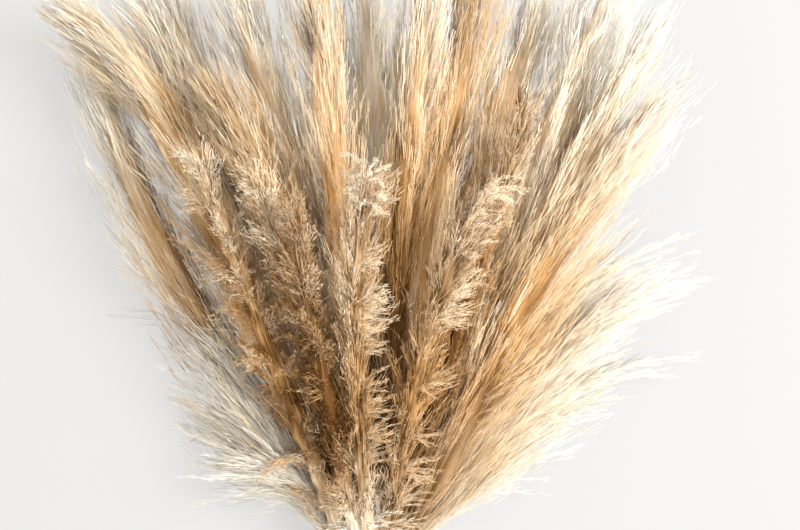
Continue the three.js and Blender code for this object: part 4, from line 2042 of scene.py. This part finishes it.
@dataclass
class Studio:
    """The floor, the lights and the camera. The camera looks straight down on the plumes.

    Attributes:
        tie: The middle of the tie.
        floor_side: The length of the floor's side.
        floor_colour: What the floor reflects.
        glow_colour: The colour of the light that the floor gives off by itself, as a lit table does.
        floor_glow: The strength of that light.
        sky_colour: The colour of the light from all round.
        sky_strength: Its strength.
        key_place: Where the large light on the right stands.
        key_side: The length of its side.
        key_power: Its power in watts.
        key_colour: Its colour.
        camera_height: The camera's height above the floor.
        camera_offset: From the tie to the point below the camera.
        focal_length: The lens, in millimetres.
        sensor_width: The width of what it draws on, in millimetres.
    """

    tie: Array
    floor_side: float = 30.0
    floor_colour: Colour = (0.083, 0.084, 0.085)
    glow_colour: Colour = (1.0, 0.99, 0.98)
    floor_glow: float = 0.56
    sky_colour: Colour = (1.0, 0.99, 0.97)
    sky_strength: float = 1.95
    key_place: tuple[float, float, float] = (1.7, 0.5, 2.5)
    key_side: float = 1.5
    key_power: float = 255.0
    key_colour: Colour = (1.0, 0.98, 0.96)
    camera_height: float = 2.2
    camera_offset: tuple[float, float] = (0.030, 0.431)
    focal_length: float = 85.1
    sensor_width: float = 36.0

    def build_floor(self) -> None:
        """Makes the plain pale floor."""
        half = self.floor_side / 2
        mesh = bpy.data.meshes.new("floor")
        corners = [(-half, -half, 0), (half, -half, 0), (half, half, 0), (-half, half, 0)]
        mesh.from_pydata(corners, [], [(0, 1, 2, 3)])
        finish = bpy.data.materials.new("pale_floor")
        finish.use_nodes = True
        shader = finish.node_tree.nodes["Principled BSDF"]
        shader.inputs["Base Color"].default_value = (*self.floor_colour, 1.0)
        shader.inputs["Roughness"].default_value = 0.9
        shader.inputs["Specular IOR Level"].default_value = 0.1
        shader.inputs["Emission Color"].default_value = (*self.glow_colour, 1.0)
        shader.inputs["Emission Strength"].default_value = self.floor_glow
        mesh.materials.append(finish)
        floor = bpy.data.objects.new("floor", mesh)
        bpy.context.scene.collection.objects.link(floor)

    def build_key(self) -> None:
        """Makes the large square light, which faces the middle of the plumes and isn't seen itself."""
        light = bpy.data.lights.new("key", "AREA")
        light.size, light.energy, light.color = self.key_side, self.key_power, self.key_colour
        made = bpy.data.objects.new("key", light)
        made.location = self.key_place
        target = self.tie + np.array([*self.camera_offset, 0.0])
        aim = Vector(target - np.array(self.key_place))
        made.rotation_euler = aim.to_track_quat("-Z", "Y").to_euler()
        made.visible_camera = False
        bpy.context.scene.collection.objects.link(made)

    def build_sky(self) -> None:
        """Sets a soft light from all round."""
        world = bpy.data.worlds.new("soft_room")
        world.use_nodes = True
        sky = world.node_tree.nodes["Background"]
        sky.inputs["Color"].default_value = (*self.sky_colour, 1.0)
        sky.inputs["Strength"].default_value = self.sky_strength
        bpy.context.scene.world = world
        bpy.context.scene.view_settings.view_transform = "Standard"

    def build_camera(self) -> None:
        """Hangs the camera above the plumes, with +Y up in its picture."""
        lens = bpy.data.cameras.new("camera")
        lens.lens = self.focal_length
        lens.sensor_width = self.sensor_width
        made = bpy.data.objects.new("camera", lens)
        across, along = self.camera_offset
        made.location = (self.tie[0] + across, self.tie[1] + along, self.camera_height)
        bpy.context.scene.collection.objects.link(made)
        bpy.context.scene.camera = made


def main() -> None:
    """Builds the bundle and the studio round it."""
    logging.basicConfig(level=logging.INFO, format="%(message)s")
    winding_low, winding_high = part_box("twine_winding")
    tie = (np.array(winding_low) + np.array(winding_high)) / 2
    studio = Studio(tie)
    studio.build_camera()
    studio.build_floor()
    studio.build_sky()
    studio.build_key()

    hair, skin = PlumeFinish().material(), CULM_SKIN.material()
    total, places = 0, []
    for label, look in LOOKS.items():
        plume = Plume(label, look, PlumeLine.through("plume_" + label, tie))
        plume.build(hair)
        culm = Culm(label, StemLine.through("culm_" + label))
        culm.build(skin)
        places.append(culm.line.knots[1])
        total += plume.strands.triangles + culm.strands.triangles
    Tie(np.array(places)).build(JUTE.material())
    log.info("plumes and stems: %d triangles", total)


if __name__ == "__main__":
    main()
